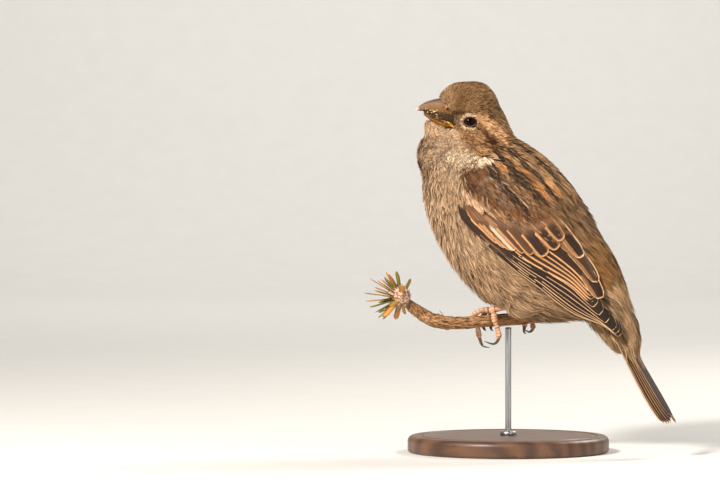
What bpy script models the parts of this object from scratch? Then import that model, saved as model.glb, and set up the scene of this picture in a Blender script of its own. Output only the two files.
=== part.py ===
"""A house sparrow hen, life size, gripping a short cut twig on a plain display stand.

Metres, +Z up. The bird faces -X and its left side is -Y. Its trunk is symmetric
about the plane Y = 0, its head is turned to its left, and the origin is the
middle of the stand's underside, on the floor.

The plumage is modelled whole, as the outline that the feathers reach, and then
parted into head, neck and trunk with thin cuts. Wings, tail and legs are let
into it with a thin gap all round.
"""

import math

import bmesh
import bpy
from mathutils import Matrix, Vector

MM = 0.001
GAP = 0.3 * MM
LEFT, RIGHT = -1, 1

# Trunk sections from the neck to the tail's root, equally spaced along the body:
# centre x, centre z, half depth (belly to back) and half width, in millimetres.
TRUNK = (
    (-18.8, 107.3, 16.0, 14.0),  # neck
    (-12.7, 98.0, 22.2, 19.6),  # shoulders
    (-2.8, 85.7, 26.0, 22.8),  # breast
    (9.2, 72.5, 25.8, 22.6),  # belly
    (20.1, 65.6, 21.5, 19.0),  # loins
    (30.4, 59.9, 15.4, 13.4),  # vent
    (37.4, 54.2, 9.8, 9.2),  # rump
    (42.0, 47.0, 5.4, 7.4),  # tail's root
)
# The surface that the folded wings lie on, in the same terms, from the shoulder
# to the wing tip. It leaves the trunk behind the loins, where the wings bridge
# the narrowing rump.
WING = (
    (-14.5, 103.5, 18.4, 17.6),
    (-7.2, 94.5, 23.6, 21.8),
    (1.4, 81.6, 26.0, 24.0),
    (12.0, 69.2, 25.0, 22.6),
    (22.0, 61.2, 20.6, 18.2),
    (31.2, 55.0, 16.4, 14.4),
    (39.0, 48.4, 12.6, 11.2),
    (45.6, 41.6, 9.4, 8.4),
)
# The wing's lower and upper edge, in degrees round the section from the bird's
# side, at equal steps from the bend of the wing to the tip.
WING_EDGES = (
    (2, 34),
    (-13, 54),
    (-9, 60),
    (-6, 60),
    (-7, 57),
    (-10, 50),
    (-11, 34),
    (-8, 18),
    (0, 6),
)
WING_BEND, WING_SPLIT, WING_END = 0.08, 0.74, 0.985
WING_INNER, WING_OUTER, WING_TIP = -1.2 * MM, 1.5 * MM, 0.6 * MM

# Head, in its own frame: forward is -x, and the origin is the middle of the skull.
HEAD_PLACE = Vector((-13.6, 0.0, 120.4)) * MM
HEAD_TURN = math.radians(24)
EYE_PLACE = Vector((-1.4, 8.0, -2.4)) * MM
EYE_RADIUS = 2.7 * MM
# Bill, at equal steps from inside the face to the tip, in the head's frame and in
# millimetres: place forward, height of the ridge, of the closing line and of the
# keel below, and half width at the closing line.
BILL = (
    (7.2, 6.2, -2.6, -5.3, 5.2),
    (10.6, 6.2, -1.8, -4.8, 4.4),
    (14.0, 5.7, -0.4, -3.2, 3.2),
    (17.4, 4.6, 1.2, -0.3, 1.8),
    (20.7, 2.3, 1.7, 1.1, 0.4),
)
BILL_PARTING = 0.45 * MM

# Rounded masses joined to the body: centre and radii in millimetres.
NECK_MASSES = (
    ((-16.8, 0, 107.8), (13.8, 12.6, 11.4)),  # sides of the neck
    ((-9.2, 0, 111.6), (10.6, 10.2, 9.6)),  # nape
    ((-23.8, 0, 105.4), (11.3, 11.6, 11.5)),  # fluffed throat
)
HEAD_MASSES = (
    ((0.6, 0, 1.1), (8.9, 10.8, 11.3)),  # skull
    ((-3.7, 0, 1.6), (10.5, 5.4, 10.9)),  # forehead and face
    ((3.2, 0, -4.5), (9.6, 9.0, 9.5)),  # back of the head
    ((0.6, -3.2, -5.4), (9.2, 7.2, 7.0)),  # cheeks
    ((0.6, 3.2, -5.4), (9.2, 7.2, 7.0)),
    ((-8.0, 0, -8.2), (9.6, 6.6, 5.3)),  # chin
    ((-14.6, 0, -3.7), (3.7, 3.9, 3.2)),  # loose feathers under the bill
)
TAIL_COVERTS = (
    ((35.4, 0, 47.0), (3.6, 5.4, 4.6)),  # coverts under the tail's root
    ((39.1, 0, 43.0), (3.2, 5.0, 4.6)),
    ((42.8, 0, 39.6), (2.8, 4.6, 4.4)),
    ((43.8, 0, 50.0), (4.0, 6.0, 5.6)),  # coverts over it
    ((46.3, 0, 45.0), (3.4, 5.6, 5.2)),
    ((48.2, 0, 40.6), (2.9, 5.0, 4.6)),
)
FORM_VOXEL, FORM_SMOOTHING, FORM_KEEP = 1.0 * MM, 12, 0.050
NECK_CUT = (Vector((-15.5, 0, 111.5)) * MM, Vector((0.05, 0, 1)))
TRUNK_CUT = (Vector((-14.5, 0, 99.0)) * MM, Vector((-0.25, 0, 1)))

# Tail, from inside the rump to the tip of the longest feathers.
TAIL_ROOT = Vector((38.0, 0, 51.6)) * MM
TAIL_TIP = Vector((63.0, 0, 12.4)) * MM
TAIL_HALF_WIDTH = (4.6, 5.6, 6.4, 7.2, 7.8, 7.9, 6.6)
TAIL_HALF_THICKNESS = (1.9, 1.7, 1.4, 1.2, 1.0, 0.9, 0.6)
TAIL_CURL = 0.22  # each side droops by this share of its width

# Perch: a twig's centre line from its cut end, under the right foot and the left
# one, to the leafy tip, with its radius, in millimetres.
TWIG = (
    (8.8, 19.0, 48.8, 2.15),
    (3.6, 8.0, 47.7, 2.2),
    (-3.6, -8.0, 47.2, 2.15),
    (-11.4, -16.6, 46.6, 2.2),
    (-18.2, -22.6, 47.4, 2.4),
    (-23.0, -26.4, 50.6, 2.1),
    (-26.2, -28.8, 53.6, 1.8),
)
TUFT_PLACE = Vector((-28.6, -30.6, 56.0)) * MM
TUFT_RADII = Vector((3.7, 3.7, 4.0)) * MM
# Needle leaves spread round a way that points out of the tuft, the longest
# nearest to it, with their lengths and lean at the first and the last.
LEAF_WAY = Vector((-0.90, -0.42, 0.10))
LEAVES, LEAF_RADIUS = 16, 0.75
LEAF_LENGTHS, LEAF_LEANS = (13.0, 7.6), (12, 118)

# Feet: each grips the twig at one of its rows, and the toes reach across it.
FOOT_ROWS = {LEFT: 2, RIGHT: 1}
TOE_DROP = {LEFT: 1.0, RIGHT: 0.6}  # how far the toes reach below the twig
HIND_REACH = {LEFT: 1.0, RIGHT: 0.88}  # and behind it
TWIG_STEP = 14.6  # between rows there
JOINT = (-0.9, 0.0, 4.0)
JOINT_RADIUS, TOE_RADIUS, CLAW_RADIUS = 1.45, 1.1, 0.55
# Toe paths across the twig: forward, outward along it and up from the twig's
# centre, in millimetres. The last three points are the claw's.
TOES = {
    "hind": ((-0.9, 0.0, 4.0), (-2.6, 0.3, 2.9), (-3.6, 0.5, 0.6), (-4.1, -0.3, -2.8),
             (-4.5, -0.5, -6.1), (-1.9, -0.2, -8.2), (2.4, 1.1, -7.3)),
    "inner": ((0.1, -0.8, 4.0), (2.2, -2.2, 3.0), (3.7, -3.0, 0.6), (3.8, -3.0, -0.9),
              (3.4, -2.8, -1.9), (2.6, -2.3, -3.2), (0.6, -1.7, -3.8)),
    "middle": ((0.3, 0.1, 4.0), (2.4, 0.5, 3.0), (3.8, 0.8, 0.6), (3.8, 0.8, -1.0),
               (3.5, 0.8, -2.0), (2.8, 0.7, -3.1), (1.6, 0.6, -3.6)),
    "outer": ((-0.1, 1.0, 4.0), (1.2, 4.6, 3.6), (3.4, 6.0, 1.6), (4.0, 3.4, -2.6),
              (3.8, 2.5, -6.1), (2.8, 1.5, -8.9), (0.0, 0.0, -9.6)),
}
ANKLES = {LEFT: Vector((13.8, -10.6, 54.4)) * MM, RIGHT: Vector((20.2, 9.8, 54.6)) * MM}
TARSUS_RADIUS = 1.2
LEG_PARTING = 1.0 * MM  # the belly feathers part round the bare leg
GRIP_RADIUS = 6.6  # the belly clears the twig and the feet by this much

STAND_RADIUS, STAND_HEIGHT, STAND_EDGE = 36 * MM, 6 * MM, 0.8 * MM
ROD_RADIUS, ROD_TOP = 1.1 * MM, 44.6 * MM

COLOURS = {
    "plumage_brown": ((0.33, 0.23, 0.15), 0.85),
    "plumage_buff": ((0.48, 0.37, 0.26), 0.85),
    "wing_brown": ((0.30, 0.18, 0.10), 0.75),
    "bill_horn": ((0.36, 0.27, 0.20), 0.45),
    "bill_yellow": ((0.55, 0.36, 0.10), 0.45),
    "eye_black": ((0.012, 0.008, 0.006), 0.08),
    "leg_pink": ((0.50, 0.30, 0.20), 0.60),
    "claw_dark": ((0.16, 0.11, 0.08), 0.40),
    "bark": ((0.42, 0.29, 0.19), 0.90),
    "leaf_green": ((0.42, 0.40, 0.14), 0.65),
    "stand_wood": ((0.10, 0.055, 0.03), 0.45),
    "stand_steel": ((0.60, 0.58, 0.55), 0.30),
}


def clear_scene():
    for item in list(bpy.data.objects):
        bpy.data.objects.remove(item)


def collection(name):
    made = bpy.data.collections.new(name)
    bpy.context.scene.collection.children.link(made)
    return made


def material(name):
    colour, roughness = COLOURS[name]
    made = bpy.data.materials.get(name) or bpy.data.materials.new(name)
    made.use_nodes = True
    shader = made.node_tree.nodes["Principled BSDF"]
    shader.inputs["Base Color"].default_value = (*colour, 1)
    shader.inputs["Roughness"].default_value = roughness
    shader.inputs["Metallic"].default_value = 1.0 if name == "stand_steel" else 0.0
    return made


def add_part(name, mesh, finish):
    mesh.materials.clear()
    mesh.materials.append(material(finish))
    mesh.shade_smooth()
    mesh.set_sharp_from_angle(angle=math.radians(40))
    item = bpy.data.objects.new(name, mesh)
    PARTS.objects.link(item)
    return item


def add_helper(name, mesh):
    """An object that shapes others and isn't part of the model."""
    item = bpy.data.objects.new(name, mesh)
    item.hide_render = True
    item.display_type = "WIRE"
    CUTTERS.objects.link(item)
    return item


def evaluated_mesh(item):
    bpy.context.view_layer.update()
    graph = bpy.context.evaluated_depsgraph_get()
    return bpy.data.meshes.new_from_object(item.evaluated_get(graph))


def boolean(item, other, operation, solver="EXACT"):
    step = item.modifiers.new(operation.lower(), "BOOLEAN")
    step.operation = operation
    step.solver = solver
    step.object = other


def cut_body(body, name, mesh):
    """The exact solver loses the body's surface, so its cuts use the manifold one."""
    boolean(body, add_helper(name, mesh), "DIFFERENCE", "MANIFOLD")


def curve_through(rows, t):
    """The row of values at t, from 0 to 1, on a smooth curve through rows at equal steps."""
    place = t * (len(rows) - 1)
    i = max(0, min(int(place), len(rows) - 2))
    f = place - i
    near = [rows[max(i - 1, 0)], rows[i], rows[i + 1], rows[min(i + 2, len(rows) - 1)]]
    return [
        b + f * (c - a + f * (2 * a - 5 * b + 4 * c - d + f * (3 * b - a - 3 * c + d))) / 2
        for a, b, c, d in zip(*near)
    ]


def section_point(rows, t, angle, side, outward):
    """A point on the body's surface: t along the rows, angle round from the bird's side
    towards its back, on the LEFT or RIGHT, and outward from the surface."""
    x, z, depth, width = (v * MM for v in curve_through(rows, t))
    step = 0.01
    after, before = curve_through(rows, t + step), curve_through(rows, t - step)
    run, rise = after[0] - before[0], after[1] - before[1]
    length = math.hypot(run, rise)
    back = Vector((-rise, 0, run)) / length
    aside = Vector((0, side, 0))
    return (
        Vector((x, 0, z))
        + back * (depth + outward) * math.sin(angle)
        + aside * (width + outward) * math.cos(angle)
    )


def loft(rings):
    """A closed mesh over rings of equally many points, flat at both ends."""
    form = bmesh.new()
    rows = [[form.verts.new(point) for point in ring] for ring in rings]
    for row, following in zip(rows, rows[1:]):
        for i in range(len(row)):
            j = (i + 1) % len(row)
            form.faces.new((row[i], row[j], following[j], following[i]))
    form.faces.new(rows[0])
    form.faces.new(rows[-1])
    bmesh.ops.recalc_face_normals(form, faces=form.faces)
    mesh = bpy.data.meshes.new("loft")
    form.to_mesh(mesh)
    form.free()
    return mesh


def ball(form, centre, radii, frame=Matrix.Identity(4), rounds=16):
    """Adds an ellipsoid to a bmesh."""
    shape = frame @ Matrix.Translation(centre) @ Matrix.Diagonal((*radii, 1))
    bmesh.ops.create_uvsphere(form, u_segments=rounds, v_segments=rounds // 2, radius=1, matrix=shape)


def ball_mesh(centre, radii, frame=Matrix.Identity(4), rounds=16):
    form = bmesh.new()
    ball(form, centre, radii, frame, rounds)
    mesh = bpy.data.meshes.new("ball")
    form.to_mesh(mesh)
    form.free()
    return mesh


def tube_mesh(points, radii, sides_level):
    """A closed tube through points in millimetres, with a radius for each."""
    curve = bpy.data.curves.new("tube", "CURVE")
    curve.dimensions = "3D"
    curve.bevel_depth = MM
    curve.bevel_resolution = sides_level
    curve.use_fill_caps = True
    spline = curve.splines.new("POLY")
    spline.points.add(len(points) - 1)
    for spot, point, radius in zip(spline.points, points, radii):
        spot.co = (*(Vector(point) * MM), 1)
        spot.radius = radius
    item = bpy.data.objects.new("tube", curve)
    CUTTERS.objects.link(item)
    mesh = evaluated_mesh(item)
    bpy.data.objects.remove(item)
    form = bmesh.new()
    form.from_mesh(mesh)
    bmesh.ops.remove_doubles(form, verts=form.verts, dist=1e-6)
    bmesh.ops.recalc_face_normals(form, faces=form.faces)
    form.to_mesh(mesh)
    form.free()
    return mesh


def trunk_rings(steps=26, points=28):
    for step in range(steps + 1):
        ring = []
        for k in range(points):
            angle = 2 * math.pi * k / points
            ring.append(section_point(TRUNK, step / steps, angle, RIGHT, 0))
        yield ring


def head_frame():
    return Matrix.Translation(HEAD_PLACE) @ Matrix.Rotation(HEAD_TURN, 4, "Z")


def plumage_form():
    """The whole feathered body as one smooth closed mesh."""
    form = bmesh.new()
    form.from_mesh(loft(list(trunk_rings())))
    for centre, radii in (*NECK_MASSES, *TAIL_COVERTS):
        ball(form, Vector(centre) * MM, Vector(radii) * MM, rounds=32)
    for centre, radii in HEAD_MASSES:
        ball(form, Vector(centre) * MM, Vector(radii) * MM, head_frame(), rounds=32)
    mesh = bpy.data.meshes.new("plumage_form")
    form.to_mesh(mesh)
    form.free()
    item = add_helper("plumage_form", mesh)
    remesh = item.modifiers.new("one_surface", "REMESH")
    remesh.mode = "VOXEL"
    remesh.voxel_size = FORM_VOXEL
    smooth = item.modifiers.new("blend", "SMOOTH")
    smooth.factor = 0.5
    smooth.iterations = FORM_SMOOTHING
    fewer = item.modifiers.new("fewer", "DECIMATE")
    fewer.ratio = FORM_KEEP
    return evaluated_mesh(item)


def between(mesh, above=None, below=None):
    """The part of a closed mesh above one plane and below another, with half a gap at each."""
    form = bmesh.new()
    form.from_mesh(mesh)
    for cut, side in ((above, 1), (below, -1)):
        if cut is None:
            continue
        place, normal = cut[0], cut[1].normalized() * side
        whole = list(form.verts) + list(form.edges) + list(form.faces)
        found = bmesh.ops.bisect_plane(
            form, geom=whole, plane_co=place + normal * GAP / 2, plane_no=normal, clear_inner=True
        )
        rim = [e for e in found["geom_cut"] if isinstance(e, bmesh.types.BMEdge)]
        bmesh.ops.holes_fill(form, edges=rim)
    bmesh.ops.triangulate(form, faces=form.faces)
    part = bpy.data.meshes.new("part")
    form.to_mesh(part)
    form.free()
    return part


def wing_mesh(side, start, end, margin=0.0):
    """A length of folded wing, as a curved slab that thins to its tip."""
    steps, across = 9, 6
    rings = []
    for step in range(steps + 1):
        t = start + (end - start) * step / steps
        low, high = curve_through(WING_EDGES, (t - WING_BEND) / (WING_END - WING_BEND))
        reach = math.radians(high - low)
        thin = max(0.0, (t - WING_SPLIT) / (WING_END - WING_SPLIT))
        outer = WING_OUTER + (WING_TIP - WING_OUTER) * thin
        inner = WING_INNER + (-WING_TIP - WING_INNER) * thin
        edge = margin / (20 * MM)
        ring = []
        for outward, spare, order in (
            (outer, margin, range(across + 1)),
            (inner, -margin, range(across, -1, -1)),
        ):
            for k in order:
                share = k / across
                angle = math.radians(low) + reach * share + edge * (2 * share - 1)
                rounding = 1 - 0.75 * abs(2 * share - 1) ** 4
                ring.append(section_point(WING, t, angle, side, outward * rounding + spare))
        rings.append(ring)
    return loft(rings)


def tail_mesh(margin=0.0):
    """The closed tail: a thin wedge, widest near its end, with drooping sides."""
    direction = (TAIL_TIP - TAIL_ROOT).normalized()
    back = Vector((-direction.z, 0, direction.x))
    steps, across = len(TAIL_HALF_WIDTH) - 1, 8
    rings = []
    for step in range(steps + 1):
        centre = TAIL_ROOT.lerp(TAIL_TIP, step / steps)
        width = TAIL_HALF_WIDTH[step] * MM + margin
        thick = TAIL_HALF_THICKNESS[step] * MM + margin
        ring = []
        for sign, order in ((1, range(across + 1)), (-1, range(across - 1, 0, -1))):
            for k in order:
                share = 2 * k / across - 1
                crown = thick * sign * (1 - 0.7 * share * share)
                droop = TAIL_CURL * width * share * share
                ring.append(centre + Vector((0, share * width, 0)) + back * (crown - droop))
        rings.append(ring)
    return loft(rings)


def bill_mesh(upper, margin=0.0):
    """One half of the conical bill: arched outside and flat where the halves meet."""
    steps, points = 8, 8
    last = 1.0 if upper else 0.78
    rings = []
    for step in range(steps + 1):
        row = [v * MM for v in curve_through(BILL, last * step / steps)]
        forward, ridge, closing, keel, half = row
        part = 0.0 if upper else BILL_PARTING
        flat = closing - part
        arch = ridge - flat if upper else keel - flat
        outward = math.copysign(margin, arch)
        ring = []
        for k in range(points + 1):
            angle = math.pi * k / points
            across = math.cos(angle) * (half + margin)
            ring.append(Vector((-forward, across, flat + math.sin(angle) * (arch + outward))))
        for share in (0.5, 0.0, -0.5):
            ring.append(Vector((-forward, -share * half, flat - outward)))
        rings.append([head_frame() @ point for point in ring])
    return loft(rings)


def foot_point(side, point):
    """A point of the toe paths, in millimetres, at the foot on that side."""
    forward, outward, up = point
    up *= TOE_DROP[side] if up < 0 else 1
    forward *= HIND_REACH[side] if forward < -3.7 else 1
    t = (FOOT_ROWS[side] - side * outward / TWIG_STEP) / (len(TWIG) - 1)
    spot = Vector(curve_through(TWIG, t)[:3])
    along = Vector(curve_through(TWIG, t + 0.01)[:3]) - spot
    ahead = Vector((along.y, -along.x, 0)).normalized()
    return spot + ahead * forward + Vector((0, 0, up))


def smooth_path(points, count, start=0.0, end=1.0):
    return [
        Vector(curve_through(points, start + (end - start) * i / (count - 1)))
        for i in range(count)
    ]


def add_foot(side, word):
    """Four toes joined at the foot's joint, and a claw on each."""
    joint = foot_point(side, JOINT) * MM
    heel = ball_mesh(joint, [JOINT_RADIUS * MM] * 3, rounds=10)
    foot = add_part(f"foot_{word}", heel, "leg_pink")
    for toe, local in TOES.items():
        path = [foot_point(side, point) for point in local]
        claw_starts, half_gap = 4 / 6, 0.024
        count = 7
        radii = [TOE_RADIUS * (1 - 0.25 * i / (count - 1)) for i in range(count)]
        fleshy = tube_mesh(smooth_path(path, count, 0, claw_starts - half_gap), radii, 1)
        boolean(foot, add_helper(f"toe_{toe}_{word}", fleshy), "UNION")
        taper = [CLAW_RADIUS * (1 - 0.8 * (i / 5) ** 1.3) for i in range(6)]
        claw = tube_mesh(smooth_path(path, 6, claw_starts + half_gap, 1), taper, 1)
        add_part(f"claw_{toe}_{word}", claw, "claw_dark")
    return foot


def tarsus_mesh(side, margin=0.0):
    """The bare lower leg, from inside the plumage to just above the foot."""
    ankle = ANKLES[side] / MM
    joint = foot_point(side, JOINT)
    along = (joint - ankle).normalized()
    low = joint - along * (JOINT_RADIUS + 0.4 + (GAP - margin) / MM)
    radii = [TARSUS_RADIUS * s + margin / MM for s in (1.25, 1.0, 0.92, 0.92, 1.05)]
    path = [ankle.lerp(low, i / 4) for i in range(5)]
    return tube_mesh(path, radii, 2)


def thigh_mesh(side, margin=0.0):
    """The feathered tuft round the ankle, part sunk in the belly."""
    lean = Matrix.Rotation(math.radians(-18), 4, "Y")
    centre = ANKLES[side] + Vector((-3.0, side * 1.6, -2.0)) * MM
    radii = [radius * MM + margin for radius in (6.6, 3.8, 4.2)]
    return ball_mesh(Vector((0, 0, 0)), radii, Matrix.Translation(centre) @ lean, rounds=14)


def add_legs(trunk):
    for side, word in ((LEFT, "left"), (RIGHT, "right")):
        thigh = add_part(f"thigh_{word}", thigh_mesh(side), "plumage_buff")
        cut_body(trunk, f"thigh_socket_{word}", thigh_mesh(side, GAP))
        for drop in (0.0, LEG_PARTING):
            parting = tarsus_mesh(side, LEG_PARTING)
            parting.transform(Matrix.Translation((0, side * 1.5 * drop, -1.7 * drop)))
            cut_body(trunk, f"tarsus_parting_{word}", parting)
        socket = add_helper(f"tarsus_socket_{word}", tarsus_mesh(side, GAP))
        boolean(thigh, socket, "DIFFERENCE")
        add_part(f"tarsus_{word}", tarsus_mesh(side), "leg_pink")
        add_foot(side, word)


def add_grip(trunk):
    """Hollows the belly along the twig, where the bird crouches over its feet."""
    grip = [GRIP_RADIUS] * 4
    spots = [Vector(row[:3]) for row in TWIG[:4]]
    along = [spots[1].lerp(spots[0], 1.8), spots[1], spots[2], spots[2].lerp(spots[3], 0.7)]
    cut_body(trunk, "grip_space", tube_mesh(along, grip, 4))


def add_wings(bodies):
    gap = GAP / (80 * MM)
    for side, word in ((LEFT, "left"), (RIGHT, "right")):
        lengths = {
            "wing": (WING_BEND, WING_SPLIT - gap),
            "primaries": (WING_SPLIT + gap, WING_END),
        }
        for part, (start, end) in lengths.items():
            add_part(f"{part}_{word}", wing_mesh(side, start, end), "wing_brown")
            pocket = wing_mesh(side, start - gap, end + gap, GAP)
            for body in bodies:
                cut_body(body, f"{part}_pocket_{word}", pocket)


def add_body():
    form = plumage_form()
    head = add_part("head", between(form, above=NECK_CUT), "plumage_brown")
    neck = add_part("neck", between(form, above=TRUNK_CUT, below=NECK_CUT), "plumage_buff")
    trunk = add_part("trunk", between(form, below=TRUNK_CUT), "plumage_buff")
    for side, word in ((LEFT, "left"), (RIGHT, "right")):
        place = Vector((EYE_PLACE.x, side * EYE_PLACE.y, EYE_PLACE.z))
        eye = [EYE_RADIUS] * 3
        socket = [EYE_RADIUS + GAP] * 3
        add_part(f"eye_{word}", ball_mesh(place, eye, head_frame(), 14), "eye_black")
        boolean(head, add_helper(f"socket_{word}", ball_mesh(place, socket, head_frame(), 18)), "DIFFERENCE")
    add_part("bill_upper", bill_mesh(True), "bill_horn")
    add_part("bill_lower", bill_mesh(False), "bill_yellow")
    for upper in (True, False):
        boolean(head, add_helper("bill_seat", bill_mesh(upper, GAP)), "DIFFERENCE")
    return neck, trunk


def add_tail(trunk):
    add_part("tail", tail_mesh(), "wing_brown")
    cut_body(trunk, "tail_seat", tail_mesh(GAP))


def add_perch():
    count = 22
    rows = smooth_path([row[:3] for row in TWIG], count)
    radii = [curve_through([row[3:] for row in TWIG], i / (count - 1))[0] for i in range(count)]
    add_part("perch", tube_mesh(rows, radii, 3), "bark")
    clear_of_it = tube_mesh(rows, [radius + GAP / MM for radius in radii], 3)

    tuft = add_part("perch_tuft", ball_mesh(TUFT_PLACE, TUFT_RADII, rounds=12), "leaf_green")
    golden = math.pi * (3 - math.sqrt(5))
    for i in range(LEAVES):
        share = i / (LEAVES - 1)
        length = LEAF_LENGTHS[0] + (LEAF_LENGTHS[1] - LEAF_LENGTHS[0]) * share
        lean = math.radians(LEAF_LEANS[0] + (LEAF_LEANS[1] - LEAF_LEANS[0]) * share)
        leaf = LEAF_WAY.to_track_quat("Z", "Y").to_matrix()
        leaf = leaf @ Matrix.Rotation(i * golden, 3, "Z") @ Matrix.Rotation(lean, 3, "Y")
        way = leaf @ Vector((0, 0, length))
        stations = [TUFT_PLACE / MM + way * s for s in (0.15, 0.55, 0.85, 1.0)]
        radii = [LEAF_RADIUS * s for s in (0.8, 1.0, 0.75, 0.25)]
        boolean(tuft, add_helper(f"leaf_{i}", tube_mesh(stations, radii, 0)), "UNION")
    boolean(tuft, add_helper("tuft_seat", clear_of_it), "DIFFERENCE")


def add_stand():
    """A turned disc with a rod up to the underside of the twig."""
    profile = bmesh.new()
    low, top, out = 0.0, STAND_HEIGHT, STAND_RADIUS
    edge = STAND_EDGE
    outline = ((0, top), (out - edge, top), (out, top - edge), (out, low), (0, low))
    spots = [profile.verts.new((x, 0, z)) for x, z in outline]
    for a, b in zip(spots, spots[1:]):
        profile.edges.new((a, b))
    mesh = bpy.data.meshes.new("stand_base")
    profile.to_mesh(mesh)
    profile.free()
    base = add_part("stand_base", mesh, "stand_wood")
    turn = base.modifiers.new("turn", "SCREW")
    turn.steps = turn.render_steps = 40
    turn.use_merge_vertices = True
    turn.merge_threshold = 1e-5
    rod = bmesh.new()
    height = ROD_TOP - STAND_HEIGHT - GAP
    middle = Matrix.Translation((0, 0, STAND_HEIGHT + GAP + height / 2))
    bmesh.ops.create_cone(
        rod, cap_ends=True, segments=20, radius1=ROD_RADIUS, radius2=ROD_RADIUS, depth=height, matrix=middle
    )
    rod_mesh = bpy.data.meshes.new("stand_rod")
    rod.to_mesh(rod_mesh)
    rod.free()
    add_part("stand_rod", rod_mesh, "stand_steel")


clear_scene()
PARTS = collection("house_sparrow")
CUTTERS = collection("cutters")
NECK_PART, TRUNK_PART = add_body()
add_grip(TRUNK_PART)
add_wings((NECK_PART, TRUNK_PART))
add_tail(TRUNK_PART)
add_legs(TRUNK_PART)
add_perch()
add_stand()
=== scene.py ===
"""A house sparrow on a cut twig, life size, on a plain display stand: its plumage, bill, eyes, feet and
stand.

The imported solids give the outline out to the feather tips. One skin lies inside them, and every feather
is mesh over it: strands for the small feathers of the head and body, whole vanes for the wings and the
tail. Lengths are in millimetres in the row frame, and MM turns them into metres where a mesh is made.
The bird faces -X, its left side is -Y and the floor is Z = 0. The head's own places are in the head's
frame, where forward is -X.
"""

import functools
import math

import bmesh
import bpy
import numpy as np
from mathutils import Matrix, Vector, noise
from mathutils.bvhtree import BVHTree


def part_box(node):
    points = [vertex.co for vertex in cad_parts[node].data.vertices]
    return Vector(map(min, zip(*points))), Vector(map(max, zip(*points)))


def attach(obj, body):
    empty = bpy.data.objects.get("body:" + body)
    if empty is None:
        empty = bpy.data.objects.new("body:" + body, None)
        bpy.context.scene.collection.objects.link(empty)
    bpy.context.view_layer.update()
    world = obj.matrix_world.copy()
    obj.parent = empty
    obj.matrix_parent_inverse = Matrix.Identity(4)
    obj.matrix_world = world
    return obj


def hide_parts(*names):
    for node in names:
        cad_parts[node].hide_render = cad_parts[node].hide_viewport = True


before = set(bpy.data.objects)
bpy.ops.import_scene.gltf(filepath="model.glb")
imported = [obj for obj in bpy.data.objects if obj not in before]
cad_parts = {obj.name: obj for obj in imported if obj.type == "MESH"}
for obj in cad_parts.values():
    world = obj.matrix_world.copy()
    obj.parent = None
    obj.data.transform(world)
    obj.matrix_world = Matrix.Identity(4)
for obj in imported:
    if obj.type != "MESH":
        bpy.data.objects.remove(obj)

bl_info = {
    "name": "House sparrow display model",
    "version": (1, 0, 0),
    "blender": (4, 5, 0),
    "location": "3D View > Sidebar > Sparrow",
    "description": "Feathers, bill, eyes, feet, twig and stand of a life-size house sparrow",
    "category": "Object",
}

MM = 0.001
LEFT, RIGHT = -1, 1
SIDES = {"left": LEFT, "right": RIGHT}
FLESH = ("head", "neck", "trunk", "thigh_left", "thigh_right", "wing_left", "wing_right")

# The body's sections: x, z, half depth, half width, equally spaced from the neck to the tail's root.
TRUNK = (
    (-18.8, 107.3, 16.0, 14.0),
    (-12.7, 98.0, 22.2, 19.6),
    (-2.8, 85.7, 26.0, 22.8),
    (9.2, 72.5, 25.8, 22.6),
    (20.1, 65.6, 21.5, 19.0),
    (30.4, 59.9, 15.4, 13.4),
    (37.4, 54.2, 9.8, 9.2),
    (42.0, 47.0, 5.4, 7.4),
)
# The folded wings lie on a surface of their own, in the same terms, from the bend to the wing's tip.
WING = (
    (-14.5, 103.5, 18.4, 17.6),
    (-7.2, 94.5, 23.6, 21.8),
    (1.4, 81.6, 26.0, 24.0),
    (12.0, 69.2, 25.0, 22.6),
    (22.0, 61.2, 20.6, 18.2),
    (31.2, 55.0, 16.4, 14.4),
    (39.0, 48.4, 12.6, 11.2),
    (45.6, 41.6, 9.4, 8.4),
)
# The wing's lower and upper edge, in degrees round the section from the bird's side.
WING_EDGES = ((2, 34), (-13, 54), (-9, 60), (-6, 60), (-7, 57), (-10, 50), (-11, 34), (-8, 18), (0, 6))
WING_BEND, WING_END = 0.08, 0.985

HEAD_PLACE = (-13.6, 0.0, 120.4)
HEAD_TURN = math.radians(24)
EYE_PLACE = (-1.4, 8.0, -2.4)
EYE_RADIUS = 2.7
BILL_ROOT = np.array((-9.0, 0.0, 0.0))

TAIL_ROOT = np.array((38.0, 0.0, 51.6))
TAIL_LINE = np.array((63.0, 0.0, 12.4)) - TAIL_ROOT
TAIL_CURL = 0.22
# A plane along the top of the tail: the way out of it, and how far out it lies.
TAIL_ABOVE = np.array((0.843, 0.0, 0.538))
TAIL_TOP = TAIL_ABOVE @ TAIL_ROOT


# ---------------------------------------------------------------- numbers and curves

def smooth(low, high, value):
    """0 below low, 1 above high, and an even bend between them."""
    share = np.clip((np.asarray(value, float) - low) / (high - low), 0, 1)
    return share * share * (3 - 2 * share)


def bump(value, middle, reach):
    """1 at the middle, falling to 0 at the reach on both sides."""
    return 1 - smooth(0, reach, np.abs(np.asarray(value, float) - middle))


def curve(rows, t):
    """Points of the smooth curve through equally spaced rows, at places t from 0 to 1."""
    rows, t = np.asarray(rows, float), np.atleast_1d(np.asarray(t, float))
    place = t * (len(rows) - 1)
    i = np.clip(place.astype(int), 0, len(rows) - 2)
    f = (place - i)[..., None]
    a, b, c, d = (rows[np.clip(i + k, 0, len(rows) - 1)] for k in (-1, 0, 1, 2))
    return b + f * (c - a + f * (2 * a - 5 * b + 4 * c - d + f * (3 * b - a - 3 * c + d))) / 2


def unit(vectors):
    """The same vectors, one long."""
    return vectors / np.maximum(np.linalg.norm(vectors, axis=-1, keepdims=True), 1e-9)


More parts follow.
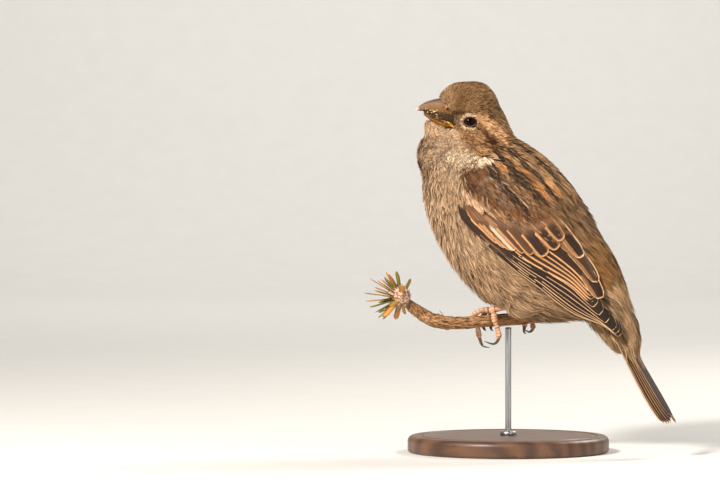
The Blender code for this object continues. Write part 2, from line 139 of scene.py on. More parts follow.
def section_point(rows, t, degrees, side, outward):
    """Points of the surface through a table of sections, raised outward from it."""
    x, z, depth, width = np.moveaxis(curve(rows, t), -1, 0)
    step = curve(rows, np.asarray(t) + 0.01) - curve(rows, np.asarray(t) - 0.01)
    run, rise = step[..., 0], step[..., 1]
    length = np.hypot(run, rise)
    lift = (depth + outward) * np.sin(np.radians(degrees))
    aside = (width + outward) * np.cos(np.radians(degrees)) * side
    return np.stack((x - rise / length * lift, aside, z + run / length * lift), -1)


def linear(red, green, blue):
    """A colour given in the usual 0 to 255 steps, as linear light."""
    shades = np.array((red, green, blue), float) / 255
    return np.where(shades <= 0.04045, shades / 12.92, ((shades + 0.055) / 1.055) ** 2.4)


def grain(points, scale, seed):
    """Smooth noise from -1 to 1 at each point, one cell to each scale."""
    shift = Vector((seed, seed * 1.7, -seed))
    return np.array([noise.noise(Vector(p) / scale + shift) for p in points])


@functools.cache
def head_frame():
    """The matrix from the head's frame to the row frame, in millimetres."""
    return Matrix.Translation(HEAD_PLACE) @ Matrix.Rotation(HEAD_TURN, 4, "Z")


def to_head(points):
    """Points of the row frame, in the head's frame."""
    matrix = np.array(head_frame().inverted())
    return np.asarray(points) @ matrix[:3, :3].T + matrix[:3, 3]


def from_head(points):
    """Points of the head's frame, in the row frame."""
    matrix = np.array(head_frame())
    return np.asarray(points) @ matrix[:3, :3].T + matrix[:3, 3]


def body_place(points, rows=TRUNK):
    """Where points lie round the body: the share along it, and the degrees up from its side."""
    points = np.asarray(points, float)
    shares = np.linspace(-0.12, 1.12, 125)
    middle = curve(rows, shares)[:, :2]
    near = ((points[:, None, ::2] - middle[None]) ** 2).sum(-1).argmin(1)
    t = shares[near]
    step = curve(rows, t + 0.01) - curve(rows, t - 0.01)
    way = unit(step[:, :2])
    offset = points[:, ::2] - middle[near]
    lift = -way[:, 1] * offset[:, 0] + way[:, 0] * offset[:, 1]
    return t, np.degrees(np.arctan2(lift, np.abs(points[:, 1])))


def wing_place(points):
    """Where points lie on the wing's surface: the share along it, and the share from its lower to its
    upper edge."""
    t, degrees = body_place(points, WING)
    low, high = curve(WING_EDGES, (t - WING_BEND) / (WING_END - WING_BEND)).T
    return t, (degrees - low) / np.maximum(high - low, 4)


# ---------------------------------------------------------------- meshes

def make_piece(name, points, faces, material, values=(), corners=None):
    """A mesh piece that rides on the model. faces is an array of corners, or a list of such arrays;
    values are its named attributes, and corners its OFBake places, one for each point."""
    faces = [np.asarray(f) for f in (faces if isinstance(faces, list) else [faces])]
    mesh = bpy.data.meshes.new(name)
    mesh.vertices.add(len(points))
    mesh.vertices.foreach_set("co", (np.asarray(points, float) * MM).astype(np.float32).ravel())
    loops = np.concatenate([f.ravel() for f in faces])
    sizes = np.concatenate([np.full(len(f), f.shape[1]) for f in faces])
    mesh.loops.add(len(loops))
    mesh.loops.foreach_set("vertex_index", loops.astype(np.int32))
    mesh.polygons.add(len(sizes))
    mesh.polygons.foreach_set("loop_start", (np.cumsum(sizes) - sizes).astype(np.int32))
    mesh.update(calc_edges=True)
    for key, numbers in dict(values).items():
        numbers = np.asarray(numbers, np.float32)
        flat = numbers.ndim == 1
        made = mesh.attributes.new(key, "FLOAT" if flat else "FLOAT_VECTOR", "POINT")
        made.data.foreach_set("value" if flat else "vector", numbers.ravel())
    if corners is not None:
        places = mesh.uv_layers.new(name="OFBake")
        places.data.foreach_set("uv", np.asarray(corners, np.float32)[loops].ravel())
    mesh.validate()
    mesh.shade_smooth()
    mesh.materials.append(material)
    piece = bpy.data.objects.new(name, mesh)
    bpy.context.scene.collection.objects.link(piece)
    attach(piece, "root")
    return piece


def grid_faces(rows, columns, count=1, closed=False):
    """The quads of count equal grids of points, each of so many rows of so many columns."""
    last = columns if closed else columns - 1
    row, column = np.meshgrid(np.arange(rows - 1), np.arange(last), indexing="ij")
    after = (column + 1) % columns
    quads = np.stack((row * columns + column, row * columns + after,
                      (row + 1) * columns + after, (row + 1) * columns + column), -1).reshape(-1, 4)
    return (quads[None] + (np.arange(count) * rows * columns)[:, None, None]).reshape(-1, 4)


def cap_faces(rows, around):
    """The triangles that close both ends of a tube of rings, each about a point that comes after the
    rings."""
    turns, end, last = np.arange(around), rows * around, (rows - 1) * around
    after = (turns + 1) % around
    return np.concatenate((np.stack((turns, np.full(around, end), after), -1),
                           np.stack((turns + last, after + last, np.full(around, end + 1)), -1)))


def sweep(path, radii, around=20, flat=1.0, wave=None):
    """A tube along a path, closed at both ends: points, faces and each point's (round, along) shares.
    wave(share along, angle) gives a swelling in millimetres."""
    path = np.asarray(path, float)
    radii = np.broadcast_to(radii, len(path))
    ahead = unit(np.gradient(path, axis=0))
    above = np.array((0.0, 0.0, 1.0)) if abs(ahead[0][2]) < 0.8 else np.array((0.0, 1.0, 0.0))
    ring, turn = [], np.linspace(0, 2 * math.pi, around, endpoint=False)
    for i in range(len(path)):
        above = unit(above - ahead[i] * (above @ ahead[i]))
        beside = np.cross(ahead[i], above)
        swell = wave(i / (len(path) - 1), turn) if wave else 0.0
        out = np.cos(turn)[:, None] * beside + np.sin(turn)[:, None] * above * flat
        ring.append(path[i] + out * (radii[i] + swell)[:, None] if wave else path[i] + out * radii[i])
    points = np.concatenate([*ring, path[:1], path[-1:]])
    shares = np.stack(np.meshgrid(np.linspace(0, 1, len(path)), turn / (2 * math.pi), indexing="ij"), -1)
    shares = np.concatenate([shares.reshape(-1, 2), [[0, 0], [1, 0]]])
    return points, [grid_faces(len(path), around, closed=True), cap_faces(len(path), around)], shares


def joined(parts):
    """Several (points, [faces, ...], values) as one."""
    points, groups, values = zip(*parts)
    starts = np.cumsum([0] + [len(place) for place in points])
    faces = [np.concatenate([kind + start for kind, start in zip(same, starts)]) for same in zip(*groups)]
    return np.concatenate(points), faces, np.concatenate(values)


# ---------------------------------------------------------------- materials

class Wire:
    """A shader value that can be used in sums, such as 1 - wire * 2."""

    def __init__(self, sheet, socket):
        self.sheet, self.socket = sheet, socket

    def _sum(self, operation, first, second=0.0):
        return self.sheet.wire("Math", {"operation": operation}, {0: first, 1: second})

    def __add__(self, other):
        return self._sum("ADD", self, other)

    def __radd__(self, other):
        return self._sum("ADD", other, self)

    def __sub__(self, other):
        return self._sum("SUBTRACT", self, other)

    def __rsub__(self, other):
        return self._sum("SUBTRACT", other, self)

    def __mul__(self, other):
        return self._sum("MULTIPLY", self, other)

    def __rmul__(self, other):
        return self._sum("MULTIPLY", other, self)

    def __abs__(self):
        return self._sum("ABSOLUTE", self)

    def sine(self):
        return self._sum("SINE", self)

    def over(self, low, high):
        """0 below low, 1 above high, smooth between."""
        return self.sheet.wire("MapRange", {"interpolation_type": "SMOOTHSTEP"},
                               {"Value": self, "From Min": low, "From Max": high})


class Sheet:
    """A material's nodes, with one way to add each of them."""

    def __init__(self, name):
        self.material = bpy.data.materials.new(name)
        self.material.use_nodes = True
        self.tree = self.material.node_tree
        self.tree.nodes.clear()

    def node(self, kind, settings=(), sockets=()):
        made = self.tree.nodes.new("ShaderNode" + kind)
        for name, value in dict(settings).items():
            setattr(made, name, value)
        for name, value in dict(sockets).items():
            if isinstance(value, Wire):
                self.tree.links.new(value.socket, made.inputs[name])
            else:
                made.inputs[name].default_value = value
        return made

    def wire(self, kind, settings=(), sockets=(), output=0):
        return Wire(self, self.node(kind, settings, sockets).outputs[output])

    def mix(self, factor, first, second, mode="MIX"):
        """A blend of two colours."""
        colours = [c if isinstance(c, Wire) else (*c, 1.0) for c in (first, second)]
        return self.wire("Mix", {"data_type": "RGBA", "blend_type": mode},
                         {0: factor, 6: colours[0], 7: colours[1]}, 2)

    def shade(self, colour, tone):
        """The colour made so many times as bright."""
        return self.mix(1.0, colour, self.vector(tone, tone, tone), "MULTIPLY")

    def attribute(self, name):
        """A piece's named values: its colour wire, and its three numbers."""
        node = self.node("Attribute", {"attribute_name": name})
        split = self.node("SeparateXYZ", {}, {0: Wire(self, node.outputs["Vector"])})
        return Wire(self, node.outputs["Color"]), *(Wire(self, split.outputs[i]) for i in range(3))

    def place(self):
        """Each point's place in the row frame, in metres."""
        return self.wire("TexCoord", output=3)

    def noise(self, vector, scale, detail=3.0, roughness=0.55, distortion=0.0):
        return self.wire("TexNoise", {}, {"Vector": vector, "Scale": scale, "Detail": detail,
                                          "Roughness": roughness, "Distortion": distortion})

    def vector(self, x, y, z=0.0):
        return self.wire("CombineXYZ", {}, {0: x, 1: y, 2: z})

    def stretched(self, vector, scale):
        return self.wire("Mapping", {}, {"Vector": vector, "Scale": scale})

    def relief(self, height, distance, strength):
        """The normal of a surface with this height, so many metres deep."""
        return self.wire("Bump", {}, {"Height": height, "Distance": distance, "Strength": strength})

    def finish(self, colour, roughness, normal=None, **constant):
        """The surface itself: constant values go on the shader's own sockets."""
        sockets = {"Base Color": colour, "Roughness": roughness}
        if normal is not None:
            sockets["Normal"] = normal
        sockets.update({key.replace("_", " "): value for key, value in constant.items()})
        shader = self.node("BsdfPrincipled", {}, sockets)
        self.node("OutputMaterial", {}, {"Surface": Wire(self, shader.outputs[0])})
        return self.material


@functools.cache
def plumage():
    """Small feathers and the skin under them. The pieces carry: ground, the colour of the plumage there;
    vane, the place across and along a feather and a number of the strand's own; and quill, the feather's
    own number."""
    sheet = Sheet("plumage")
    ground = sheet.attribute("ground")[0]
    _, across, along, strand = sheet.attribute("vane")
    _, pick, dark, pale = sheet.attribute("quill")
    place = sheet.place()
    barbs = sheet.noise(sheet.vector(across * 9.0 + pick * 40.0, along * 3.0, pick * 17.0), 1.6, 2.0)
    fine = sheet.noise(place, 900.0, 2.0)
    tone = 0.5 + strand * 0.82 + (barbs - 0.5) * 0.7 + (pick - 0.5) * 0.36 + (fine - 0.5) * 0.3
    # Each strand is darker towards its feather's root: partly the feather's dusky base, partly painted shade
    # under the feathers that overlap it.
    root = 1.0 - (1.0 - along.over(0.1, 0.65)) * 0.55
    shaded = sheet.shade(ground, tone * root)
    centre = dark * (1.0 - abs(across).over(0.25, 0.75)) * (1.0 - along.over(0.8, 1.0) * 0.5)
    streaked = sheet.mix(centre, shaded, linear(52, 34, 22))
    edge = pale * (abs(across).over(0.35, 0.8) * 0.6 + along.over(0.7, 0.95) * 0.7)
    tipped = sheet.mix(edge, streaked, linear(232, 196, 152))
    height = barbs * 0.6 + fine * 0.4
    return sheet.finish(tipped, 0.72 + (strand - 0.5) * 0.2, sheet.relief(height, 0.00018, 0.5),
                        Specular_IOR_Level=0.2)


@functools.cache
def vanes():
    """Large feathers of the wings and the tail. The pieces carry: web, the vane's own colour; rim, its
    edges' colour; vane, the place across (from -1 at the outer edge to 1) and along, and the pale tip's
    length; edges, the width of the outer and the inner edge and where they start; quill, the feather's
    own number, how dark its middle is and how strong its edges are; and core, where across it its dark
    middle lies."""
    sheet = Sheet("vanes")
    web, rim = sheet.attribute("web")[0], sheet.attribute("rim")[0]
    _, across, along, tip = sheet.attribute("vane")
    _, outer_width, inner_width, start = sheet.attribute("edges")
    _, pick, wash, strength = sheet.attribute("quill")
    core = sheet.attribute("core")[1]
    slant = along - abs(across) * 0.13
    barbs = sheet.noise(sheet.vector(slant * 170.0 + pick * 31.0, across * 1.4, pick * 9.0), 1.0, 2.0, 0.6)
    broad = sheet.noise(sheet.vector(along * 5.0, across * 2.0, pick * 23.0), 1.3, 3.0)
    streaks = sheet.noise(sheet.vector(across * 5.0 + pick * 13.0, along * 2.5, pick * 7.0), 1.7, 3.0, 0.7)
    tone = 0.84 + (barbs - 0.5) * 0.9 + (broad - 0.5) * 0.6 + (streaks - 0.5) * 0.9
    body = sheet.shade(web, tone)
    ragged = (barbs - 0.5) * 0.3 + (broad - 0.5) * 0.5 + (streaks - 0.5) * 0.7
    middle = 1.0 - (abs(across - core) + ragged).over(0.5, 0.78)
    near_tip = 1.0 - (along + ragged * tip).over(1.0 - tip * 1.9, 1.0 - tip * 1.1)
    soft = sheet.mix(wash * middle * near_tip * (along + ragged * 0.5).over(0.3, 0.55), body,
                     linear(44, 28, 18))
    outer = (0.0 - across + ragged * 0.18).over(1.03 - outer_width * 1.25, 1.06 - outer_width * 0.85)
    inner = (across + ragged * 0.22).over(1.03 - inner_width * 1.25, 1.06 - inner_width * 0.85)
    curved = along + across * across * tip * 1.2
    end = (curved + ragged * tip).over(1.0 - tip * 1.25, 1.0 - tip * 0.75)
    sides = (1.0 - (1.0 - outer) * (1.0 - inner)) * (along + ragged * 0.3).over(start, start + 0.2)
    edge = 1.0 - (1.0 - sides * strength) * (1.0 - end * (strength * 0.3 + 0.7))
    bright = 0.9 + (barbs - 0.5) * 0.7 + (broad - 0.5) * 0.5
    edged = sheet.mix(edge, soft, sheet.shade(rim, bright))
    shaft = 1.0 - abs(across).over(0.02, 0.07)
    shown = sheet.mix(shaft * 0.6, edged, linear(78, 50, 34))
    return sheet.finish(shown, 0.55 + (broad - 0.5) * 0.3, sheet.relief(barbs + shaft * 2.0, 0.00012, 0.55),
                        Specular_IOR_Level=0.22)


@functools.cache
def upper_horn():
    """The upper bill: purple-grey horn, paler at the tip and darker over the ridge, with a dark band flecked
    with
    pale along the cutting edge: partly the horn's own dark edge, partly painted shadow in the closing line."""
    sheet = Sheet("upper bill horn")
    _, round_, along, edge = sheet.attribute("horn")
    place = sheet.place()
    streaks = sheet.noise(sheet.vector(round_ * 14.0, along * 2.2), 1.5, 4.0)
    specks = sheet.noise(place, 1600.0, 3.0)
    base = sheet.mix(streaks.over(0.3, 0.75), linear(122, 94, 78), linear(78, 58, 50))
    middle = edge.over(0.05, 0.3) * (1.0 - edge.over(0.5, 0.7))
    lighter = sheet.mix(middle * 0.5, base, linear(142, 110, 86))
    low = (edge + (streaks - 0.5) * 0.35).over(0.34, 0.6) * (1.0 - along.over(0.62, 0.8))
    rooted = sheet.mix(low * 0.85, lighter, linear(116, 78, 34))
    hind = (1.0 - (along + (specks - 0.5) * 0.3).over(0.16, 0.42)) * edge.over(0.12, 0.4)
    browned = sheet.mix(hind * 0.75, rooted,
                        sheet.mix(specks.over(0.46, 0.6), linear(66, 42, 22), linear(158, 110, 50)))
    tipped = sheet.mix(along.over(0.86, 0.98), browned, linear(228, 202, 176))
    # The dark band along the cutting edge: partly the horn's own dark edge, partly painted shadow in the
    # closing line between the halves.
    band = (edge + (specks - 0.5) * 0.3).over(0.62, 0.8) * (1.0 - along.over(0.9, 1.0))
    dark = sheet.mix(band * 0.9, tipped, linear(40, 26, 14))
    flaked = sheet.mix(specks.over(0.57, 0.63) * band * along.over(0.2, 0.4), dark, linear(222, 190, 136))
    height = streaks * 0.6 + specks * 0.4
    return sheet.finish(flaked, 0.56 + specks * 0.2, sheet.relief(height, 0.00012, 0.5),
                        Specular_IOR_Level=0.12)


@functools.cache
def lower_horn():
    """The lower bill: yellow horn, browner towards its tip, and dark along the cutting edge: partly its own
    colour, partly painted shadow under the upper half.
    """
    sheet = Sheet("lower bill horn")
    _, round_, along, edge = sheet.attribute("horn")
    place = sheet.place()
    streaks = sheet.noise(sheet.vector(round_ * 12.0, along * 2.0), 1.5, 4.0)
    specks = sheet.noise(place, 1500.0, 3.0)
    base = sheet.mix(streaks.over(0.3, 0.75), linear(176, 118, 34), linear(112, 70, 20))
    browned = sheet.mix(along.over(0.55, 1.0) * 0.7, base, linear(108, 74, 34))
    # Dark along the cutting edge: partly the horn's own colour, partly painted shadow under the upper half.
    edged = sheet.mix(edge.over(0.45, 0.7) * (1.0 - specks.over(0.54, 0.6) * 0.8), browned,
                      linear(48, 31, 14))
    height = streaks * 0.6 + specks * 0.4
    return sheet.finish(edged, 0.46 + specks * 0.18, sheet.relief(height, 0.00012, 0.5),
                        Specular_IOR_Level=0.22)


@functools.cache
def gape_skin():
    """The soft yellow fold at the corner of the mouth, with fine wrinkles."""
    sheet = Sheet("gape skin")
    _, round_, along, _ = sheet.attribute("horn")
    place = sheet.place()
    wrinkles = sheet.noise(sheet.vector(round_ * 5.0, along * 9.0), 2.0, 3.0)
    specks = sheet.noise(place, 1700.0, 3.0)
    base = sheet.mix(wrinkles.over(0.35, 0.65), linear(196, 138, 48), linear(130, 84, 26))
    pale = sheet.mix(specks.over(0.58, 0.7), base, linear(246, 216, 150))
    return sheet.finish(pale, 0.4 + specks * 0.2, sheet.relief(wrinkles + specks, 0.0001, 0.5),
                        Specular_IOR_Level=0.4)


@functools.cache
def eyeball():
    """A wet dark eye: black pupil and reddish-brown iris with fine spokes, smooth and glossy."""
    sheet = Sheet("eye")
    _, turn, reach, _ = sheet.attribute("eye")
    spokes = sheet.noise(sheet.vector(turn * 60.0, reach * 2.0), 1.0, 3.0)
    iris = sheet.mix(spokes.over(0.3, 0.75), linear(24, 8, 5), linear(60, 22, 12))
    ringed = sheet.mix(reach.over(0.6, 0.78), iris, linear(14, 6, 4))
    shown = sheet.mix(reach.over(0.42, 0.5), linear(3, 3, 3), ringed)
    return sheet.finish(shown, 0.03 + spokes * 0.02, Specular_IOR_Level=0.09)


@functools.cache
def leg_skin():
    """Pinkish-brown scaly skin of the legs and toes, darker in the grooves between the scutes."""
    sheet = Sheet("leg skin")
    _, groove, _, pick = sheet.attribute("scute")
    place = sheet.place()
    cells = sheet.wire("TexVoronoi", {"feature": "DISTANCE_TO_EDGE"}, {"Vector": place, "Scale": 1500.0})
    blotch = sheet.noise(place, 420.0, 4.0)
    base = sheet.mix(blotch.over(0.35, 0.65), linear(222, 172, 134), linear(160, 108, 78))
    pads = sheet.mix(pick * 0.4, base, linear(234, 190, 156))
    grooved = sheet.mix(groove * 0.8, pads, linear(96, 58, 40))
    crazed = sheet.mix((1.0 - cells.over(0.0, 0.12)) * 0.4, grooved, linear(122, 78, 54))
    height = cells.over(0.0, 0.2) * 0.5 + blotch * 0.3
    return sheet.finish(crazed, 0.45 + blotch * 0.2, sheet.relief(height, 0.00015, 0.6),
                        Subsurface_Weight=0.12, Subsurface_Radius=(0.002, 0.001, 0.0006),
                        Specular_IOR_Level=0.4)


@functools.cache
def claw_horn():
    """Dark horn of the claws, browner at the root, with fine lines along it."""
    sheet = Sheet("claw horn")
    _, round_, along, _ = sheet.attribute("horn")
    lines = sheet.noise(sheet.vector(round_ * 18.0, along * 2.0), 1.4, 3.0)
    base = sheet.mix(along.over(0.0, 0.55), linear(118, 80, 56), linear(48, 36, 30))
    lined = sheet.mix(lines.over(0.4, 0.8) * 0.4, base, linear(150, 112, 84))
    return sheet.finish(lined, 0.28 + lines * 0.16, sheet.relief(lines, 0.0001, 0.5), Coat_Weight=0.3)


@functools.cache
def bark():
    """Dry bark: fibres along the twig, pale ridges, dark cracks and small lenticels."""
    sheet = Sheet("bark")
    _, round_, along, knot = sheet.attribute("twig")
    place = sheet.place()
    turn = (round_ * (2 * math.pi)).sine() * 1.2
    other = (round_ * (2 * math.pi) + 1.57).sine() * 1.2
    fibres = sheet.noise(sheet.vector(turn * 8.0, other * 8.0, along * 1.5), 1.5, 6.0, 0.62)
    cracks = sheet.noise(sheet.vector(turn * 5.0, other * 5.0, along * 1.2), 1.4, 5.0, 0.6, 0.5)
    specks = sheet.noise(place, 900.0, 3.0)
    base = sheet.mix(fibres.over(0.36, 0.62), linear(92, 58, 34), linear(212, 160, 110))
    cracked = sheet.mix((1.0 - cracks.over(0.38, 0.5)) * 0.9, base, linear(44, 26, 17))
    worn = sheet.mix(knot * 0.6 + specks.over(0.62, 0.8) * 0.5, cracked, linear(196, 150, 112))
    height = fibres * 0.7 + cracks.over(0.36, 0.5) * 0.6 + specks * 0.15
    return sheet.finish(worn, 0.82 + specks * 0.1, sheet.relief(height, 0.0005, 0.8),
                        Specular_IOR_Level=0.2)


@functools.cache
def leaf():
    """Flat needles: olive green with a pale midrib, turning orange-tan towards some of the tips."""
    sheet = Sheet("needle")
    _, across, along, turned = sheet.attribute("blade")
    veins = sheet.noise(sheet.vector(across * 7.0, along * 1.2, turned * 30.0), 1.5, 3.0)
    green = sheet.mix(veins.over(0.3, 0.7), linear(112, 104, 30), linear(150, 134, 52))
    dry = sheet.mix(turned.over(0.35, 0.75) * along.over(0.1, 0.8), green, linear(196, 128, 58))
    rib = sheet.mix((1.0 - abs(across).over(0.04, 0.18)) * 0.6, dry, linear(206, 184, 116))
    edge = sheet.mix(abs(across).over(0.8, 1.0) * 0.6, rib, linear(88, 78, 26))
    return sheet.finish(edge, 0.42 + veins * 0.15, sheet.relief(veins, 0.00015, 0.5),
                        Subsurface_Weight=0.1, Subsurface_Radius=(0.001, 0.001, 0.0004))


@functools.cache
def wool():
    """The needles' woolly bud: pinkish-tan scales with whitish fluff between them."""
    sheet = Sheet("bud wool")
    _, _, along, _ = sheet.attribute("bud")
    place = sheet.place()
    fluff = sheet.noise(place, 1100.0, 5.0, 0.7)
    base = sheet.mix(fluff.over(0.42, 0.58), linear(150, 86, 50), linear(240, 214, 192))
    shown = sheet.mix(along.over(0.5, 1.0) * 0.45, base, linear(196, 122, 74))
    return sheet.finish(shown, 0.9, sheet.relief(fluff, 0.0004, 0.8), Sheen_Weight=0.4)


@functools.cache
def turned_wood():
    """The stand's dark wood, oiled, with rings round its middle and fine pores."""
    sheet = Sheet("turned wood")
    place = sheet.place()
    bent = sheet.noise(place, 30.0, 3.0)
    rings = sheet.wire("TexWave", {"wave_type": "BANDS", "bands_direction": "Y"},
                       {"Vector": sheet.stretched(place, (0.25, 1.0, 1.0)), "Scale": 55.0,
                        "Distortion": 5.0,
                        "Detail": 3.0, "Detail Scale": 1.4})
    pores = sheet.noise(sheet.stretched(place, (90.0, 1400.0, 1400.0)), 1.0, 3.0)
    base = sheet.mix(rings, linear(70, 46, 32), linear(112, 76, 50))
    toned = sheet.mix(bent.over(0.35, 0.7) * 0.5, base, linear(88, 56, 38))
    pored = sheet.mix(pores.over(0.58, 0.72) * 0.6, toned, linear(44, 28, 20))
    return sheet.finish(pored, 0.38 + pores * 0.15, sheet.relief(pores * 0.5 + rings * 0.3, 0.0002, 0.4),
                        Coat_Weight=0.15, Coat_Roughness=0.3)


@functools.cache
def steel():
    """The stand's rod: brushed steel with fine scratches along it."""
    sheet = Sheet("brushed steel")
    place = sheet.place()
    scratches = sheet.noise(sheet.stretched(place, (4200.0, 4200.0, 60.0)), 1.0, 2.0)
    cloud = sheet.noise(place, 160.0, 3.0)
    colour = sheet.mix(scratches.over(0.3, 0.7), linear(142, 142, 146), linear(196, 196, 198))
    return sheet.finish(colour, 0.24 + scratches * 0.16 + cloud * 0.06,
                        sheet.relief(scratches, 0.00005, 0.4),
                        Metallic=1.0)


@functools.cache
def paper():
    """The plain pale floor and backdrop: matt card with the faintest mottle."""
    sheet = Sheet("studio card")
    place = sheet.place()
    mottle = sheet.noise(place, 60.0, 4.0)
    colour = sheet.mix(mottle, linear(221, 219, 215), linear(228, 226, 222))
    return sheet.finish(colour, 0.9, sheet.relief(mottle, 0.0002, 0.1), Specular_IOR_Level=0.1)


# ---------------------------------------------------------------- the body under its feathers

FORM_VOXEL = 0.6
FORM_SWELL = 0.12


@functools.cache
def body_form():
    """The outline of the head, body and folded wings as one closed surface: its points, triangles and
    normals, and a search tree, in millimetres."""
    heap = bmesh.new()
    for name in (*FLESH, "eye_left", "eye_right", "tail"):
        heap.from_mesh(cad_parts[name].data)
    bmesh.ops.remove_doubles(heap, verts=heap.verts, dist=1e-6)
    heap.normal_update()
    for vertex in heap.verts:
        vertex.co += vertex.normal * FORM_SWELL * MM
    mesh = bpy.data.meshes.new("form")
    heap.to_mesh(mesh)
    heap.free()
    holder = bpy.data.objects.new("form", mesh)
    bpy.context.scene.collection.objects.link(holder)
    remesh = holder.modifiers.new("one surface", "REMESH")
    remesh.mode, remesh.voxel_size = "VOXEL", FORM_VOXEL * MM
    even = holder.modifiers.new("even", "SMOOTH")
    even.factor, even.iterations = 0.5, 8
    made = holder.evaluated_get(bpy.context.evaluated_depsgraph_get()).to_mesh()
    made.calc_loop_triangles()
    points, normals = np.empty((2, len(made.vertices) * 3), np.float32)
    made.vertices.foreach_get("co", points)
    made.vertices.foreach_get("normal", normals)
    triangles = np.empty(len(made.loop_triangles) * 3, np.int32)
    made.loop_triangles.foreach_get("vertices", triangles)
    points, normals = points.reshape(-1, 3) / MM, normals.reshape(-1, 3)
    triangles = triangles.reshape(-1, 3)
    bpy.data.objects.remove(holder)
    tree = BVHTree.FromPolygons(points.tolist(), triangles.tolist())
    return points.astype(float), triangles, normals.astype(float), tree


def settle(points):
    """The nearest places on the body's outline, and its smooth normals there."""
    form, triangles, normals, tree = body_form()
    found = [tree.find_nearest(Vector(p)) for p in points]
    places = np.array([f[0] for f in found])
    corners = triangles[[f[2] for f in found]]
    near = np.linalg.norm(form[corners] - places[:, None], axis=-1)
    share = 1 / np.maximum(near, 1e-3)
    return places, unit((normals[corners] * (share / share.sum(1, keepdims=True))[..., None]).sum(1))


def bill_distance(points):
    """How far points are from the bill's root: the feathers grow longer with it."""
    return np.linalg.norm(np.asarray(points) - from_head([BILL_ROOT])[0], axis=1)


def lie(points, normals):
    """The way that feathers lie on the surface: back from the bill over the head, then along the body."""
    inside = to_head(points)
    source = BILL_ROOT - smooth(0.0, -3.0, inside[:, 2])[:, None] * (8.0, 0.0, -1.5)
    away = unit(points - from_head(source))
    middle = curve(TRUNK, np.linspace(-0.12, 1.12, 40))[:, :2]
    apart = ((np.asarray(points)[:, None, ::2] - middle[None]) ** 2).sum(-1)
    weight = np.exp((apart.min(1, keepdims=True) - apart) / 70.0)
    step = weight @ np.gradient(middle, axis=0)
    along = unit(np.stack((step[:, 0], step[:, 0] * 0, step[:, 1]), -1))
    lower = smooth(-3.0, -15.0, inside[:, 2])[:, None]
    along = unit(along + (unit(TAIL_LINE) - along) * smooth(-0.15, 0.1, tail_share(points))[:, None])
    way = away * (1 - lower) + along * lower
    way = way - normals * (way * normals).sum(1, keepdims=True)
    return unit(way)


# ---------------------------------------------------------------- markings of the plumage

COLOURS = {name: linear(*shades) for name, shades in {
    "crown": (162, 120, 78), "forehead": (190, 148, 106), "brow": (230, 176, 124),
    "eye stripe": (80, 48, 24), "ear": (176, 132, 90), "ear patch": (80, 44, 18),
    "collar": (250, 222, 186), "neck side": (220, 174, 126), "cheek": (230, 192, 154),
    "throat": (206, 174, 142), "smudge": (96, 78, 64), "breast": (202, 166, 130),
    "belly": (180, 144, 108), "flank": (184, 144, 104), "vent": (182, 144, 104),
    "ring": (238, 206, 166), "lid": (58, 38, 26), "mantle": (212, 138, 72),
    "mantle brown": (110, 66, 32), "back": (134, 99, 66), "rump": (134, 95, 54),
    "covert": (118, 75, 41), "covert dark": (58, 36, 24), "frost": (160, 136, 114),
    "median": (178, 124, 80), "wing bar": (226, 184, 144), "lore": (160, 126, 92),
}.items()}


def near_line(across, along, stops, reach):
    """1 on a line through the stops (across, along, half width share), falling to 0 at its reach."""
    closest = np.zeros(len(across))
    for (a0, b0, w0), (a1, b1, w1) in zip(stops, stops[1:]):
        run = np.array((a1 - a0, b1 - b0))
        share = np.clip(((across - a0) * run[0] + (along - b0) * run[1]) / (run @ run), 0, 1)
        gap = np.hypot(across - a0 - run[0] * share, along - b0 - run[1] * share)
        wide = (w0 + (w1 - w0) * share) * reach
        closest = np.maximum(closest, 1 - smooth(0.45, 1.0, gap / wide))
    return closest


